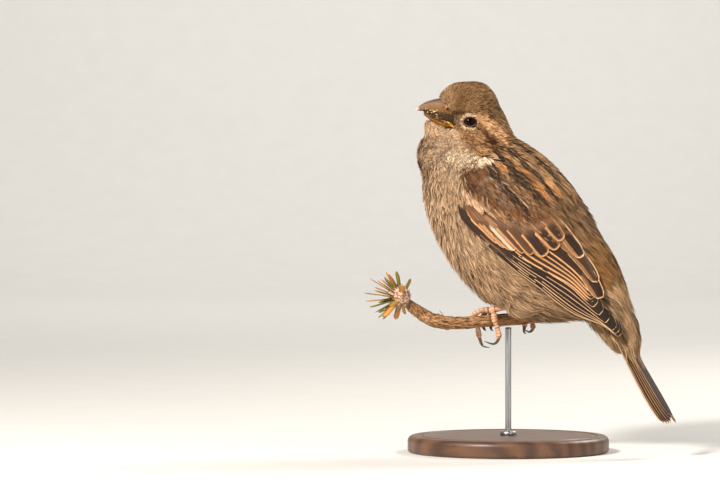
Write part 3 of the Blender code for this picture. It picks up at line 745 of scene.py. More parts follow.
def markings(points):
    """The colour of the plumage at points of the surface, how dark a feather's middle is there, and how
    pale its edge: the same for the skin and for the feathers over it."""
    points = np.asarray(points, float)
    x, y, z = to_head(points).T
    t, degrees = body_place(points)
    wing_t, share = wing_place(points)
    away = bill_distance(points)
    fine, rough, broad = grain(points, 1.2, 5.0), grain(points, 2.4, 3.0), grain(points, 7.0, 8.0)

    colour = np.tile(COLOURS["breast"], (len(points), 1))

    def lay(name, mask):
        colour[:] += (COLOURS[name] - colour) * np.clip(mask, 0, 1)[:, None]

    lay("belly", smooth(0.25, 0.5, t) * smooth(20, -20, degrees))
    lay("flank", smooth(0.3, 0.55, t) * smooth(-30, 0, degrees))
    lay("vent", smooth(0.84, 0.94, t) * smooth(-20, -40, degrees))
    lay("back", smooth(18, 38, degrees) * smooth(-0.02, 0.1, t))
    lay("rump", smooth(-10, 20, degrees) * smooth(0.6, 0.75, t))
    # The mantle: black streaks on orange-buff feathers, in lines along the back.
    mantle = smooth(0.015, 0.05, t) * (1 - smooth(0.36, 0.46, t + broad * 0.05)) * smooth(26, 36, degrees)
    behind = smooth(22.0, 25.5, x - z + fine * 1.2)
    mantle = mantle * behind
    stripe = np.sin(np.radians(degrees) * 23 + broad * 1.6 + t * 3.0) * 0.5 + 0.5 + rough * 0.15
    lay("neck side", smooth(4, 8, x) * (1 - behind) * smooth(-18, -14, z))
    lay("mantle brown", mantle)
    lay("mantle", mantle * smooth(0.6, 0.3, stripe) * smooth(-0.9, 0.1, broad + rough * 0.5))
    streak = mantle * smooth(0.5, 0.66, stripe)
    # Lesser coverts at the wing's shoulder.
    covert = smooth(0.07, 0.12, wing_t) * (1 - smooth(0.48, 0.56, wing_t)) * smooth(-0.02, 0.06, share)
    covert = covert * (1 - smooth(0.7, 0.86, share)) * smooth(8, 12, np.abs(points[:, 1]))
    lay("covert", covert)
    shade = rough * 0.5 + broad * 0.5 + bump(wing_t, 0.17, 0.07) * bump(share, 0.22, 0.2) * 1.2
    lay("covert dark", covert * smooth(0.1, 0.6, shade) * 0.7)
    frost = bump(share, 0.55, 0.22) * bump(wing_t, 0.2, 0.14) * smooth(-0.3, 0.3, rough)
    lay("frost", covert * frost)
    # Median coverts: a row with dark middles and buff tips, palest in front.
    edge = np.interp(share, COVERT_LINE[1], COVERT_LINE[0]) + 0.03 * smooth(0.25, 0.4, share)
    median = smooth(-0.075, -0.035, wing_t - edge + rough * 0.012) * covert
    lay("median", median * 0.8)
    bar = smooth(-0.06, -0.02, wing_t - edge + fine * 0.01) * (1 - smooth(0.24, 0.4, share)) * covert
    lay("wing bar", bar * 0.9)
    # The head and the neck.
    lay("throat", smooth(-29, -18, z) * smooth(-3, -8, x) * smooth(26, 16, degrees))
    upper = smooth(-9.5, -6.0, z + np.maximum(x, 0) * 0.62 - np.maximum(-x - 6, 0) * 0.9)
    lay("crown", upper)
    lay("forehead", smooth(-4, -11, x) * smooth(-1, 2, z))
    side = smooth(3.8, 5.8, np.abs(y))

    def line(stops, reach, ragged=0.0):
        return near_line(x + fine * ragged, z + rough * ragged, stops, reach) * side

    lay("ear", line(((-3.5, -7.6, 0.9), (1.5, -9.4, 1.2), (5.0, -12.2, 1.2)), 4.6, 0.5))
    lay("cheek", line(((-8.2, -6.4, 1.0), (-6.6, -10.5, 1.3), (-3.0, -14.0, 1.0)), 3.4, 0.6))
    lay("lore", line(((-7.5, -1.6, 0.8), (-4.2, -2.2, 1.0)), 2.6))
    lay("eye stripe", line(((-7.0, -2.6, 1.0), (-4.6, -3.6, 1.0)), 2.4) * smooth(0.1, 0.4, fine) * 0.8)
    dark_lore = line(((-8.6, 1.3, 0.3), (-6.5, 0.8, 0.45), (-3.2, 1.2, 0.3)), 1.9, 0.2)
    lay("eye stripe", dark_lore * 0.85)
    lay("brow", line(((1.8, -0.3, 0.5), (4.6, -1.9, 1.0), (8.4, -5.4, 1.2), (11.4, -9.4, 0.9)), 2.5, 0.4))
    stripe_line = line(((1.2, -4.5, 0.4), (4.7, -6.6, 0.8), (7.4, -9.4, 1.0)), 1.6, 0.5)
    lay("eye stripe", stripe_line * 0.9)
    lay("ear patch", line(((7.0, -10.2, 1.0), (9.8, -12.2, 1.1)), 3.1, 0.6) * (0.65 + fine))
    collar = line(((-8.0, -15.0, 1.2), (-2.4, -16.8, 1.4), (3.6, -17.0, 0.9), (8.4, -15.6, 0.4)), 2.6, 0.4)
    lay("collar", collar)
    # The pale ring round the eye, and the dark rim of the lids.
    a, c = x - EYE_PLACE[0], z - EYE_PLACE[2]
    ring = 1 - smooth(0.94, 1.12, np.hypot(a / 3.25, c / 2.95) + fine * 0.1)
    lay("ring", ring * side)
    rim = (1 - smooth(0.95, 1.1, np.hypot(a / 2.55, (c + 0.15) / 2.0) + rough * 0.1)) * side
    lay("lid", rim * np.where(c < 0.2, 0.9, 0.35))
    dashes = (bump(np.hypot(a / 2.9, c / 2.5), 1.0, 0.12) * smooth(0.3, -0.6, c) * smooth(0.0, 0.25, fine)
              * side)
    lay("lid", dashes * 0.8)
    # Dusky feather bases that show through the throat.
    smudge = smooth(10.0, 5.0, np.abs(y)) * smooth(-11.5, -14.0, x) * bump(z, -10.6, 3.4)
    lay("smudge", smudge * smooth(-0.1, 0.2, rough + fine * 0.6) * 0.75)

    crown = upper * smooth(-2.5, 0.5, z + x * 0.25) * (1 - ring * side) * smooth(24, 17, away)
    nape = smooth(9, 15, away) * upper * smooth(28, 20, away)
    specks = smooth(0.05, 0.35, fine)
    dark = crown * (0.25 + specks * 0.4) + nape * specks * 0.25 + covert * 0.2 + mantle * 0.1
    dark += smooth(4, 8, x) * (1 - behind) * smooth(-18, -14, z) * specks * 0.4
    dark += line(((3.5, 6.0, 1.0), (7.0, 1.0, 1.0), (9.0, -3.0, 0.8)), 2.6) * 0.2
    dark += smooth(30, 50, degrees) * smooth(0.4, 0.5, t) * smooth(-0.4, 0.3, rough) * 0.12
    dark += smudge * smooth(-0.3, 0.2, fine) * 0.9 + streak * 2.2
    dark += near_line(x, z, ((-10.4, 3.0, 1.0), (-8.4, 0.4, 1.0), (-7.8, -1.4, 0.7)), 1.3) * 0.9
    dark += line(((-7.4, -0.6, 1.0), (-4.6, -0.4, 0.8)), 1.7) * smooth(-0.1, 0.2, fine) * 0.7
    # Dark middles on the feathers round the tail's root: partly the coverts' own colour, partly painted
    # shadow between them.
    dark += smooth(-0.05, 0.12, tail_share(points)) * smooth(-0.2, 0.3, fine) * 0.7
    spots = smooth(-0.1, 0.3, np.sin(share * 52 + wing_t * 14) + rough * 0.5)
    dark += median * (1 - bar) * spots * 0.8
    pale = (median * 0.5 + mantle * 0.45 * (1 - smooth(0.5, 0.7, stripe)) + mantle * 0.25 + covert * 0.12
            + collar * 0.4)
    pale += smooth(20, 0, degrees) * smooth(-6, -12, z) * 0.3
    warm = 1 + broad[:, None] * np.array((0.06, 0.045, 0.03))
    return colour * warm, dark, pale


# ---------------------------------------------------------------- small feathers

# By the distance from the bill's root: the feather's length, half its width, the gap between feathers and
# how far the skin lies under the outline.
GROWTH = {
    "distance": (3, 7, 11, 15, 20, 27, 34, 45, 60, 90),
    "length": (1.2, 1.4, 1.8, 2.3, 3.0, 4.0, 5.2, 6.4, 7.4, 7.4),
    "half width": (0.26, 0.34, 0.42, 0.54, 0.70, 0.88, 1.10, 1.28, 1.44, 1.50),
    "gap": (0.38, 0.44, 0.50, 0.60, 0.76, 0.94, 1.10, 1.22, 1.34, 1.46),
    "depth": (0.25, 0.35, 0.50, 0.65, 0.85, 1.05, 1.30, 1.50, 1.60, 1.20),
}
SITE_SEED = 11
SITES_TRIED = 150000
EYE_OPENING = (2.05, 1.6)


def growth(kind, points):
    """A measure of the feathers at these points: smaller close round the eye, and longer under the
    tail's root."""
    size = np.interp(bill_distance(points), GROWTH["distance"], GROWTH[kind])
    if kind == "depth":
        return size
    if kind == "length":
        wing_t, share = wing_place(points)
        x, _, z = to_head(points).T
        size = size * (1 + 0.6 * smooth(-10.5, -13.5, x) * smooth(-1.0, -3.5, z) * smooth(-24, -14, z))
        size = (size * (1 + 0.8 * bump(wing_t, 0.05, 0.09) * smooth(-0.15, 0.1, share)
                        * (np.abs(points[:, 1]) > 6)))
    return size * (0.72 + 0.28 * smooth(1.5, 3.6, eye_reach(points)))


def eye_reach(points):
    """How many times the eye's opening away points are from its middle, seen from the side."""
    x, y, z = to_head(points).T
    reach = np.hypot((x - EYE_PLACE[0]) / EYE_OPENING[0], (z - EYE_PLACE[2]) / EYE_OPENING[1])
    return np.where(np.abs(y) > 6, reach, 9.0)


def tail_share(points):
    """The share of the tail's length that points are down it."""
    return (np.asarray(points) - TAIL_ROOT) @ TAIL_LINE / (TAIL_LINE @ TAIL_LINE)


def on_bill(points, margin=0.0):
    """Whether points lie in front of the slanting edge of the feathers, where the bill is bare."""
    x, _, z = to_head(points).T
    top = np.interp(x, *BARE_ABOVE) - margin
    low = np.interp(x, *BARE_BELOW) + margin
    return (x < BARE_ABOVE[0][-1]) & (z > low) & (z < top)


# The edge of the feathers on the bill, seen from the side in the head's frame: places forward, and heights
# there.
BARE_ABOVE = ((-21.0, -13.3, -13.0, -12.0, -10.2, -8.6, -8.1, -7.7, -6.7),
              (7.5, 7.5, 5.3, 4.3, 3.2, 0.8, -1.0, -2.5, -4.2))
BARE_BELOW = ((-21.0, -17.0, -13.6, -10.8, -8.6, -6.7), (0.6, -0.3, -2.7, -4.2, -4.9, -4.4))


@functools.cache
def feather_sites():
    """Where feathers grow: places on the outline, its normals there, each at least its gap from the
    others."""
    form, triangles, normals, _ = body_form()
    dice = np.random.default_rng(SITE_SEED)
    a, b, c = (form[triangles[:, k]] for k in range(3))
    area = np.linalg.norm(np.cross(b - a, c - a), axis=1) / growth("gap", (a + b + c) / 3) ** 2
    chosen = dice.choice(len(triangles), SITES_TRIED, p=area / area.sum())
    r, s = np.sqrt(dice.random(SITES_TRIED)), dice.random(SITES_TRIED)
    weights = np.stack((1 - r, r * (1 - s), r * s), -1)[..., None]
    points = (form[triangles[chosen]] * weights).sum(1)
    facing = unit((normals[triangles[chosen]] * weights).sum(1))
    gaps = growth("gap", points)
    kept, cells = [], {}
    for i, (point, gap) in enumerate(zip(points.tolist(), gaps.tolist())):
        size = 2.0
        key = [int(v // size) for v in point]
        near = (cells.get((key[0] + dx, key[1] + dy, key[2] + dz), ())
                for dx in (-1, 0, 1) for dy in (-1, 0, 1) for dz in (-1, 0, 1))
        if all(sum((p - q) ** 2 for p, q in zip(point, other)) > gap
               * gap for cell in near for other in cell):
            cells.setdefault(tuple(key), []).append(point)
            kept.append(i)
    return points[kept], facing[kept]


def grow(points, normals, length, depth, lift, stray, seed, steps=4):
    """The middle lines of feathers that follow the outline from their roots: places, their ways and
    normals."""
    dice = np.random.default_rng(seed)
    count = len(points)
    turn = np.radians(dice.normal(0, stray, count))[:, None]
    way = lie(points, normals)
    way = way * np.cos(turn) + np.cross(normals, way) * np.sin(turn)
    places, ways, facing = [points], [way], [normals]
    for _ in range(steps):
        ahead, normal = settle(places[-1] + way * (length / steps)[:, None])
        moved = unit(ahead - places[-1])
        fresh = lie(ahead, normal)
        way = unit(moved + fresh * np.cos(turn) + np.cross(normal, fresh) * np.sin(turn))
        way = unit(way - normal * (way * normal).sum(1, keepdims=True))
        places.append(ahead)
        ways.append(way)
        facing.append(normal)
    places, ways, facing = (np.stack(v, 1) for v in (places, ways, facing))
    share = np.linspace(0, 1, steps + 1)
    height = -depth[:, None] * (1 - share) ** 1.3 + lift * share ** 2 * length[:, None]
    return places + facing * height[..., None], ways, facing


def strands(spine, ways, facing, half_width, across, rows, split, jag, seed, cup=0.16):
    """Small feathers as strands side by side, parted and pointed towards the tip: points, faces, and
    each point's place across and along its feather and its strand's own number."""
    dice = np.random.default_rng(seed)
    count, steps = len(spine), spine.shape[1] - 1
    middle = (np.arange(across) * 2 + 1) / across - 1
    reach = 1 - 0.34 * middle ** 2 - jag * dice.random((count, across))
    share = np.linspace(0, 1, rows)[None, None] * reach[..., None]
    place = share * steps
    low = np.clip(place.astype(int), 0, steps - 1)
    rest = (place - low)[..., None]
    index = np.arange(count)[:, None, None]
    along = [v[index, low] * (1 - rest) + v[index, low + 1] * rest for v in (spine, ways, facing)]
    beside = np.cross(along[2], along[1])
    outline = 0.62 + 0.38 * np.sin(math.pi * share ** 0.7)
    own = np.linspace(0, 1, rows)[None, None]
    taper = 1 - 0.86 * smooth(split, 1.0, own)
    drift = dice.normal(0, 0.5 / across, (count, across, 1)) * own ** 2
    tilt = dice.normal(0, 0.5, (count, across, 1))
    points, places = [], []
    for edge in (-1, 1):
        u = (middle[None, :, None] + drift + edge * taper / across) * outline
        fall = -cup * u ** 2 + edge * tilt * taper / across
        wide = half_width[:, None, None]
        points.append(along[0] + beside * (u * wide)[..., None] + along[2] * (fall * wide)[..., None])
        places.append(np.stack(np.broadcast_arrays(u, share), -1))
    points = np.stack(points, 3).reshape(-1, 3)
    places = np.stack(places, 3).reshape(-1, 2)
    number = np.repeat(dice.random(count * across), rows * 2)
    return points, grid_faces(rows, 2, count * across), np.column_stack((places, number))


def head_unwrap(points):
    """A flat place for each point of the head: round the bill's line and back along it."""
    x, y, z = to_head(points).T
    return np.stack((np.arctan2(z + 1, y) / (2 * math.pi) + 0.5, np.arctan2(np.hypot(y, z), -x - 2)
                     / math.pi), -1)


def body_unwrap(points):
    """A flat place for each point of the body: round it and along it."""
    t, degrees = body_place(points)
    turn = np.where(points[:, 1] < 0, degrees, 180 - degrees)
    return np.stack(((turn + 90) / 360 % 1.0, (t + 0.15) / 1.3), -1)


def coat(name, sites, kind, longer, wider, seed):
    """One piece of the coat: a feather of strands from each site, of these shares of its usual size."""
    points, normals = sites
    slot, across, rows, split, jag, stray, lift, own_length, own_width, shallow = COAT[kind]
    dice = np.random.default_rng(seed)
    size = dice.uniform(0.85, 1.15, len(points))
    length = growth("length", points) * size * own_length * longer
    depth = growth("depth", points) * shallow
    spine, ways, facing = grow(points, normals, length, depth, lift, stray, seed)
    half_width = growth("half width", points) * size * own_width * wider
    mesh, faces, vane = strands(spine, ways, facing, half_width, across, rows, split, jag, seed)
    each = across * rows * 2
    colour, dark, pale = markings(spine[:, 3])
    dark = dark * dice.uniform(0.35, 1.3, len(points))
    pick = dice.random(len(points))
    values = {
        "ground": np.repeat(colour, each, axis=0),
        "vane": vane,
        "quill": np.repeat(np.stack((pick, dark, pale), -1), each, axis=0),
    }
    unwrap = head_unwrap if kind == "coat_head" else body_unwrap
    roots = np.repeat(unwrap(points), each, axis=0)
    corners = roots + (vane[:, :2] - (0, 0.5)) * (BAKE_PATCH / 2, BAKE_PATCH)
    if len(faces) * 2 >= MOST_TRIANGLES:
        raise RuntimeError(f"{name} has {len(faces) * 2} triangles: the most is {MOST_TRIANGLES}")
    return make_piece(name, mesh, faces, plumage(), values=values, corners=corners)


BAKE_PATCH = 0.003
MOST_TRIANGLES = 200000


# ---------------------------------------------------------------- skin, with the lids

# The ridge of the lids, from the eyeball outwards: its size as a share of the opening, and how far it
# stands out.
LID_SPREAD = (1.0, 1.0, 1.05, 1.14, 1.24, 1.36, 1.5)
LID_PROUD = (-0.25, 0.06, 0.2, 0.2, -0.05, -0.7, -1.6)
LID_COLOUR = linear(120, 92, 68)


def lids(side):
    """The rim of skin round one eye: a rounded almond ridge on the eyeball that falls away under the
    feathers."""
    turn = np.linspace(0, 2 * math.pi, 48, endpoint=False)
    rows = []
    for wide, rise in zip(LID_SPREAD, LID_PROUD):
        corner = 1 + 0.10 * np.abs(np.cos(turn)) ** 5
        a = np.cos(turn) * EYE_OPENING[0] * wide * corner
        c = np.sin(turn) * EYE_OPENING[1] * wide + 0.12 * np.sin(turn) ** 2
        reach = np.minimum(np.hypot(a, c), EYE_RADIUS * 0.93)
        b = EYE_PLACE[1] + np.sqrt(EYE_RADIUS ** 2 - reach ** 2) + rise * 0.8
        rows.append(np.stack((EYE_PLACE[0] + a, side * b, EYE_PLACE[2] + c), -1))
    points = from_head(np.concatenate(rows))
    faces = grid_faces(len(rows), len(turn), closed=True)
    return points, [faces if side == RIGHT else faces[:, ::-1]], np.tile(LID_COLOUR, (len(points), 1))


def make_skin():
    """The one skin of the bird, inside its feathers by the coat's depth, with the lids."""
    form, triangles, normals, _ = body_form()
    sink = growth("depth", form) + 0.25
    sink = np.where(eye_reach(form) < 1.9, 1.3, sink) + on_bill(form, -0.5) * 0.8
    body = form - normals * sink[:, None]
    # Under the large feathers of the wings the skin stays below their surface.
    for side in (LEFT, RIGHT):
        wing_t, share = wing_place(body)
        own = (body[:, 1] * side > 5) & (share > -0.06) & (share < 1.04) & (wing_t > 0.24) & (wing_t < 0.97)
        base = wing_point(wing_t[own], share[own], side, 0.0)
        way = wing_point(wing_t[own], share[own], side, 1.0) - base
        body[own] -= way * np.maximum(((body[own] - base) * way).sum(1) + 0.6, 0)[:, None]
    # Down the tail the skin ends in a closed stub under the coverts.
    down = tail_share(body)
    axis = TAIL_ROOT + TAIL_LINE * np.minimum(down, 0.42)[:, None]
    thin = 1 - 0.97 * smooth(0.24, 0.44, down)[:, None]
    body = np.where(down[:, None] > 0.24, axis + (body - axis) * thin, body)
    lid_points, (lid_faces,), lid_ground = joined([lids(side) for side in (LEFT, RIGHT)])
    everything = np.concatenate((body, lid_points))
    values = {"ground": np.concatenate((markings(form)[0], lid_ground)),
              "vane": np.tile((0.5, 0.6, 0.4), (len(everything), 1)),
              "quill": np.tile((0.5, 0.0, 0.0), (len(everything), 1))}
    piece = make_piece("skin", everything, [triangles, lid_faces + len(body)], plumage(),
                       values)
    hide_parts(*FLESH)


# ---------------------------------------------------------------- the coat of small feathers

def split_sites():
    """The sites of each coat piece, by name. Sites under the wing's vanes and in the eyes are left out."""
    points, normals = feather_sites()
    x, _, z = to_head(points).T
    t, degrees = body_place(points)
    wing_t, share = wing_place(points)
    start = np.interp(share, COVERT_LINE[1], COVERT_LINE[0]) - 0.028 + 0.022 * smooth(0.25, 0.4, share)
    on_wing = ((share > 0.02) & (share < 1.0) & (wing_t > WING_BEND + 0.02) & (t > -0.02)
               & (np.abs(points[:, 1]) > 7))
    hidden = (on_wing & (wing_t > start) | (share > 0.02) & (share < 1.02) & (wing_t > 0.62)
              & (wing_t < 0.97))
    shoulder = on_wing & ~hidden & (share < 0.9) & (wing_t > 0.09)
    ends = settle(points + lie(points, normals) * growth("length", points)[:, None])[0]
    end_t, end_share = wing_place(ends)
    over = ((end_share > -0.09) & (end_share < 0.5) & (end_t > 0.3) & (end_t < 0.97)
            & (np.abs(ends[:, 1]) > 7))
    taken = hidden | over & ~on_wing | (eye_reach(points) < 1.22) | shoulder | on_bill(points)
    down = tail_share(points)
    middle = TAIL_ROOT + TAIL_LINE * down[:, None]
    clear = np.linalg.norm((points - middle) * (1, 0.25, 1), axis=1) > 1.9
    taken = taken | (down > np.where(clear, 0.36, np.where(degrees > 0, 0.16, 0.24)))
    free = ~taken
    head = free & (z > np.where(x > 0, -9.0 - 0.3 * x, -6.5))
    neck = free & ~head & (t < 0.06)
    mantle = free & ~head & ~neck & (degrees > 30)
    rump = (free & ((t > 0.84) & (degrees > 0) | (down > 0.0) & (down < 0.5)
                    & (points @ TAIL_ABOVE > TAIL_TOP)))
    mantle = mantle & ~rump
    rest = free & ~head & ~neck & ~mantle & ~rump
    groups = {"coat_head": head, "coat_neck": neck, "coat_back": mantle, "coat_rump": rump}
    for word, side in SIDES.items():
        own = side * points[:, 1] > 0
        groups["coat_breast_" + word] = rest & own & (t < 0.36)
        groups["coat_belly_" + word] = rest & own & (t >= 0.36)
        groups["coat_shoulder_" + word] = shoulder & own
    return {name: (points[mask], normals[mask]) for name, mask in groups.items()}


# Where the lesser coverts end and the median coverts begin: share along the wing, at shares across it.
COVERT_LINE = ((0.165, 0.195, 0.25, 0.305, 0.355, 0.395, 0.435, 0.45),
               (0.02, 0.15, 0.26, 0.37, 0.46, 0.53, 0.66, 0.88))

# Each kind of coat piece: its slot, a feather's strands and the rows of each, where along it they part and
# how uneven their ends are, how many degrees feathers stray, how much their tips lift, and the feathers'
# length, width and depth as shares of what growth gives.
COAT = {
    "coat_head": ("plumage_head", 5, 4, 0.4, 0.25, 8.0, 0.03, 1.0, 1.0, 1.0),
    "coat_neck": ("plumage_body", 7, 4, 0.25, 0.34, 14.0, 0.1, 1.0, 1.0, 1.0),
    "coat_back": ("plumage_body", 7, 5, 0.6, 0.14, 4.0, 0.0, 1.2, 0.8, 1.0),
    "coat_rump": ("plumage_body", 8, 6, 0.55, 0.2, 3.0, 0.0, 1.8, 0.85, 1.0),
    "coat_breast": ("plumage_body", 8, 4, 0.2, 0.38, 14.0, 0.11, 1.0, 1.0, 1.0),
    "coat_belly": ("plumage_body", 8, 4, 0.2, 0.4, 12.0, 0.08, 1.1, 1.0, 1.0),
    "coat_shoulder": ("wing_feathers", 7, 5, 0.5, 0.22, 7.0, 0.12, 1.0, 1.0, 0.5),
}
FIRST_COAT_SEED = 20


def make_coat(sites, length, width):
    """Every piece of the coat, with feathers of these shares of their usual length and width."""
    for index, (name, own) in enumerate(sites.items()):
        kind = next(word for word in COAT if name.startswith(word))
        coat(name, own, kind, length, width, FIRST_COAT_SEED + index)


# ---------------------------------------------------------------- wings

def wing_point(t, share, side, outward):
    """Points of the folded wing's surface."""
    low, high = np.moveaxis(curve(WING_EDGES, (t - WING_BEND) / (WING_END - WING_BEND)), -1, 0)
    return section_point(WING, t, low + (high - low) * share, side, outward)


def body_height(points, side):
    """How far the body's own surface stands out over points of one side."""
    t, degrees = body_place(points)
    x, z, _, _ = curve(TRUNK, t).T
    middle = np.stack((x, x * 0, z), -1)
    surface = section_point(TRUNK, t, degrees, side, 0.0)
    return np.linalg.norm(surface - middle, axis=1) - np.linalg.norm(points - middle, axis=1)


def wing_vane(side, path, outer, inner, low, high, pointed, soon, seed, cup=(0.03, 0.08)):
    """One large feather on the wing: a grid along a path of (t, share) stops, so many millimetres wide
    on each side of its shaft, raised from low at its root to high at this share of its length. Its edges
    fall by the cup, outside and inside."""
    dice = np.random.default_rng(seed)
    rows, columns = 30, 13
    s = 1 - (1 - np.linspace(0, 1, rows)) ** 1.6
    t, share = curve(path, s).T
    step = 0.004
    place = wing_point(t, share, side, 1.0)
    by_t = (wing_point(t + step, share, side, 1.0) - place) / step
    by_share = (wing_point(t, share + step, side, 1.0) - place) / step
    ahead = unit(np.gradient(place, axis=0))
    normal = unit(np.cross(by_share, by_t)) * -side
    beside = np.cross(ahead, normal) * side
    beside = beside * np.sign((beside * by_share).sum(1, keepdims=True))
    u = np.linspace(-1, 1, columns)
    outline = (1 - (2 * np.maximum(s - 0.5, 0)) ** pointed) ** 0.5 * (0.45 + 0.55 * smooth(0, 0.3, s))
    notch = 1 + dice.normal(0, 0.02, (rows, columns)) * (np.abs(u) > 0.9)
    wide = np.where(u < 0, outer, inner) * outline[:, None] * u * notch
    offset = beside[:, None] * wide[..., None]
    # The step across is turned into steps along and across the surface, so that the vane hugs it.
    steps = np.stack((by_t, by_share), -1)
    squares = np.swapaxes(steps, 1, 2) @ steps
    moved = np.linalg.solve(squares[:, None], (offset @ steps)[..., None])[..., 0]
    fall = np.where(u < 0, *cup) * np.abs(u) ** 2.2
    rise = low + (high - low) * smooth(0.0, soon, s)[:, None] - fall + 0.07 * np.exp(-(u / 0.08) ** 2)
    across = share[:, None] + moved[..., 1]
    rise = rise * (1 - 0.6 * np.clip(np.abs(2 * across - 1), 0, 1.05) ** 8)
    flat = wing_point(t[:, None] + moved[..., 0], across, side, 0.0)
    proud = np.maximum(body_height(flat.reshape(-1, 3), side).reshape(flat.shape[:2]) + 0.9, 0)
    rise = rise + proud * (1 - smooth(0.12, 0.34, across)) * (1 - smooth(0.9, 1.0, s))[:, None]
    points = wing_point(t[:, None] + moved[..., 0], across, side, rise)
    faces = grid_faces(rows, columns)
    across, along = np.broadcast_arrays(u[None], s[:, None])
    length = np.linalg.norm(np.diff(place, axis=0), axis=1).sum()
    return (points.reshape(-1, 3), faces if side == LEFT else faces[:, ::-1], across.ravel(), along.ravel(),
            length)


# Each kind of large feather: its own colour and its edges' colour, the width in millimetres of its outer
# edge, inner edge and tip, where along it the edges start, how dark its middle is and where across it that
# lies, how strong its edges are and how blunt it is.
VANE_KINDS = {
    "primary": (linear(40, 28, 20), linear(232, 186, 138), (0.30, 0.30, 0.62), 0.0, 0.3, 0.0, 1.0, 4),
    "secondary": (linear(58, 38, 24), linear(222, 164, 110), (0.56, 0.12, 0.3), 0.0, 0.2, 0.0, 0.95, 6),
    "tertial": (linear(156, 108, 70), linear(240, 192, 142), (0.26, 0.62, 0.7), 0.2, 1.0, 0.2, 0.95, 4),
    "outer greater": (linear(110, 74, 48), linear(216, 158, 106), (0.66, 0.1, 0.5), 0.05, 0.5, 0.0, 0.85,
                      4),
    "inner greater": (linear(126, 88, 58), linear(216, 156, 104), (0.8, 0.35, 0.8), 0.2, 1.0, -0.12, 0.9,
                      4),
    "streak": (linear(150, 106, 74), linear(238, 204, 172), (1.1, 0.1, 0.5), 0.3, 0.3, 0.0, 0.85, 5),
    "dark": (linear(50, 35, 27), linear(150, 108, 74), (0.25, 0.1, 0.3), 0.0, 0.3, 0.0, 0.7, 6),
    "tail": (linear(38, 24, 16), linear(196, 146, 98), (0.42, 0.3, 0.4), 0.0, 0.3, 0.0, 0.95, 5),
    "outer tail": (linear(60, 40, 26), linear(240, 208, 174), (0.7, 0.3, 0.5), 0.0, 0.3, 0.0, 1.0, 5),
}

# The greater coverts, from the outermost: kind, the four stops of the path, and the widths outside and
# inside.
GREATER_COVERTS = (
    ("outer greater", ((0.195, 0.10), (0.25, 0.11), (0.30, 0.115), (0.356, 0.115)), 1.1, 1.2),
    ("outer greater", ((0.20, 0.13), (0.26, 0.135), (0.32, 0.14), (0.380, 0.135)), 1.1, 1.2),
    ("outer greater", ((0.21, 0.16), (0.27, 0.165), (0.33, 0.165), (0.398, 0.165)), 1.15, 1.3),
    ("streak", ((0.235, 0.19), (0.29, 0.20), (0.345, 0.20), (0.408, 0.195)), 1.25, 1.5),
    ("outer greater", ((0.25, 0.25), (0.31, 0.26), (0.37, 0.26), (0.438, 0.250)), 1.6, 1.9),
    ("outer greater", ((0.28, 0.33), (0.335, 0.34), (0.395, 0.33), (0.466, 0.310)), 1.9, 2.4),
    ("inner greater", ((0.31, 0.42), (0.375, 0.44), (0.44, 0.44), (0.512, 0.420)), 2.5, 2.9),
    ("inner greater", ((0.34, 0.53), (0.40, 0.56), (0.46, 0.585), (0.530, 0.605)), 2.5, 2.8),
    ("inner greater", ((0.36, 0.66), (0.41, 0.69), (0.465, 0.71), (0.520, 0.735)), 2.2, 2.4),
)
TERTIALS = (
    (((0.40, 0.58), (0.53, 0.68), (0.66, 0.78), (0.800, 0.92)), 2.5, 3.7),
    (((0.38, 0.66), (0.49, 0.73), (0.61, 0.83), (0.738, 0.97)), 2.5, 3.5),
    (((0.36, 0.74), (0.44, 0.77), (0.53, 0.82), (0.632, 0.87)), 2.4, 3.2),
)
PRIMARY_TIPS = ((0.975, 0.93), (0.985, 0.98), (0.962, 0.86), (0.940, 0.74), (0.895, 0.64), (0.850, 0.60),
                (0.805, 0.58))
SECONDARY_TIPS = ((0.784, 0.62), (0.774, 0.66), (0.762, 0.70), (0.748, 0.74), (0.732, 0.78))
PRIMARY_BENDS = (0.08, 0.14, 0.21, 0.28, 0.35, 0.41, 0.45)
QUILLS_START = 0.34


def wing_rows():
    """Every large feather of a wing, from the lowest layer up. Each is: kind, the stops of its path, its
    widths outside and inside the shaft, and its height at root and tip."""
    rows = []
    for k, (tip_t, tip_share) in enumerate(PRIMARY_TIPS):
        run = tip_t - QUILLS_START
        path = ((QUILLS_START, 0.01 + 0.02 * k), (QUILLS_START + run * 0.36, 0.06 + 0.036 * k),
                (QUILLS_START + run * 0.72, PRIMARY_BENDS[k]), (tip_t, tip_share))
        rows.append(("primary", path, 1.3, 4.4, 0.2 + 0.1 * k, 0.3 + 0.1 * k))
    for k, (tip_t, tip_share) in enumerate(SECONDARY_TIPS):
        run, middle = tip_t - QUILLS_START, 0.325 + 0.055 * k
        path = ((QUILLS_START, 0.18 + 0.06 * k), (QUILLS_START + run * 0.36, 0.27 + 0.06 * k),
                (QUILLS_START + run * 0.72, middle + (tip_share - middle) * 0.45), (tip_t, tip_share))
        rows.append(("secondary", path, 1.35, 2.6, 0.85 + 0.1 * k, 0.92 + 0.1 * k))
    for k in range(3):
        path = ((0.22 - 0.01 * k, 0.05), (0.29 - 0.012 * k, 0.05), (0.355 - 0.014 * k, 0.07),
                (0.424 - 0.02 * k, 0.105))
        rows.append(("dark", path, 0.9, 1.3, 0.9 + 0.06 * k, 1.0 + 0.08 * k))
    for k in range(2):
        path = ((0.18, 0.02), (0.22, 0.0), (0.262 - 0.02 * k, 0.0), (0.304 - 0.036 * k, 0.02 - 0.01 * k))
        rows.append(("dark", path, 0.8, 1.1, 1.1 + 0.08 * k, 1.2 + 0.08 * k))
    for k, (path, outer, inner) in enumerate(TERTIALS):
        rows.append(("tertial", path, outer, inner, 0.6 + 0.12 * k, 1.5 + 0.14 * k))
    for k, (kind, path, outer, inner) in enumerate(GREATER_COVERTS):
        rows.append((kind, path, outer, inner, -0.4 + 0.04 * k, 1.5 + 0.06 * k))
    return rows


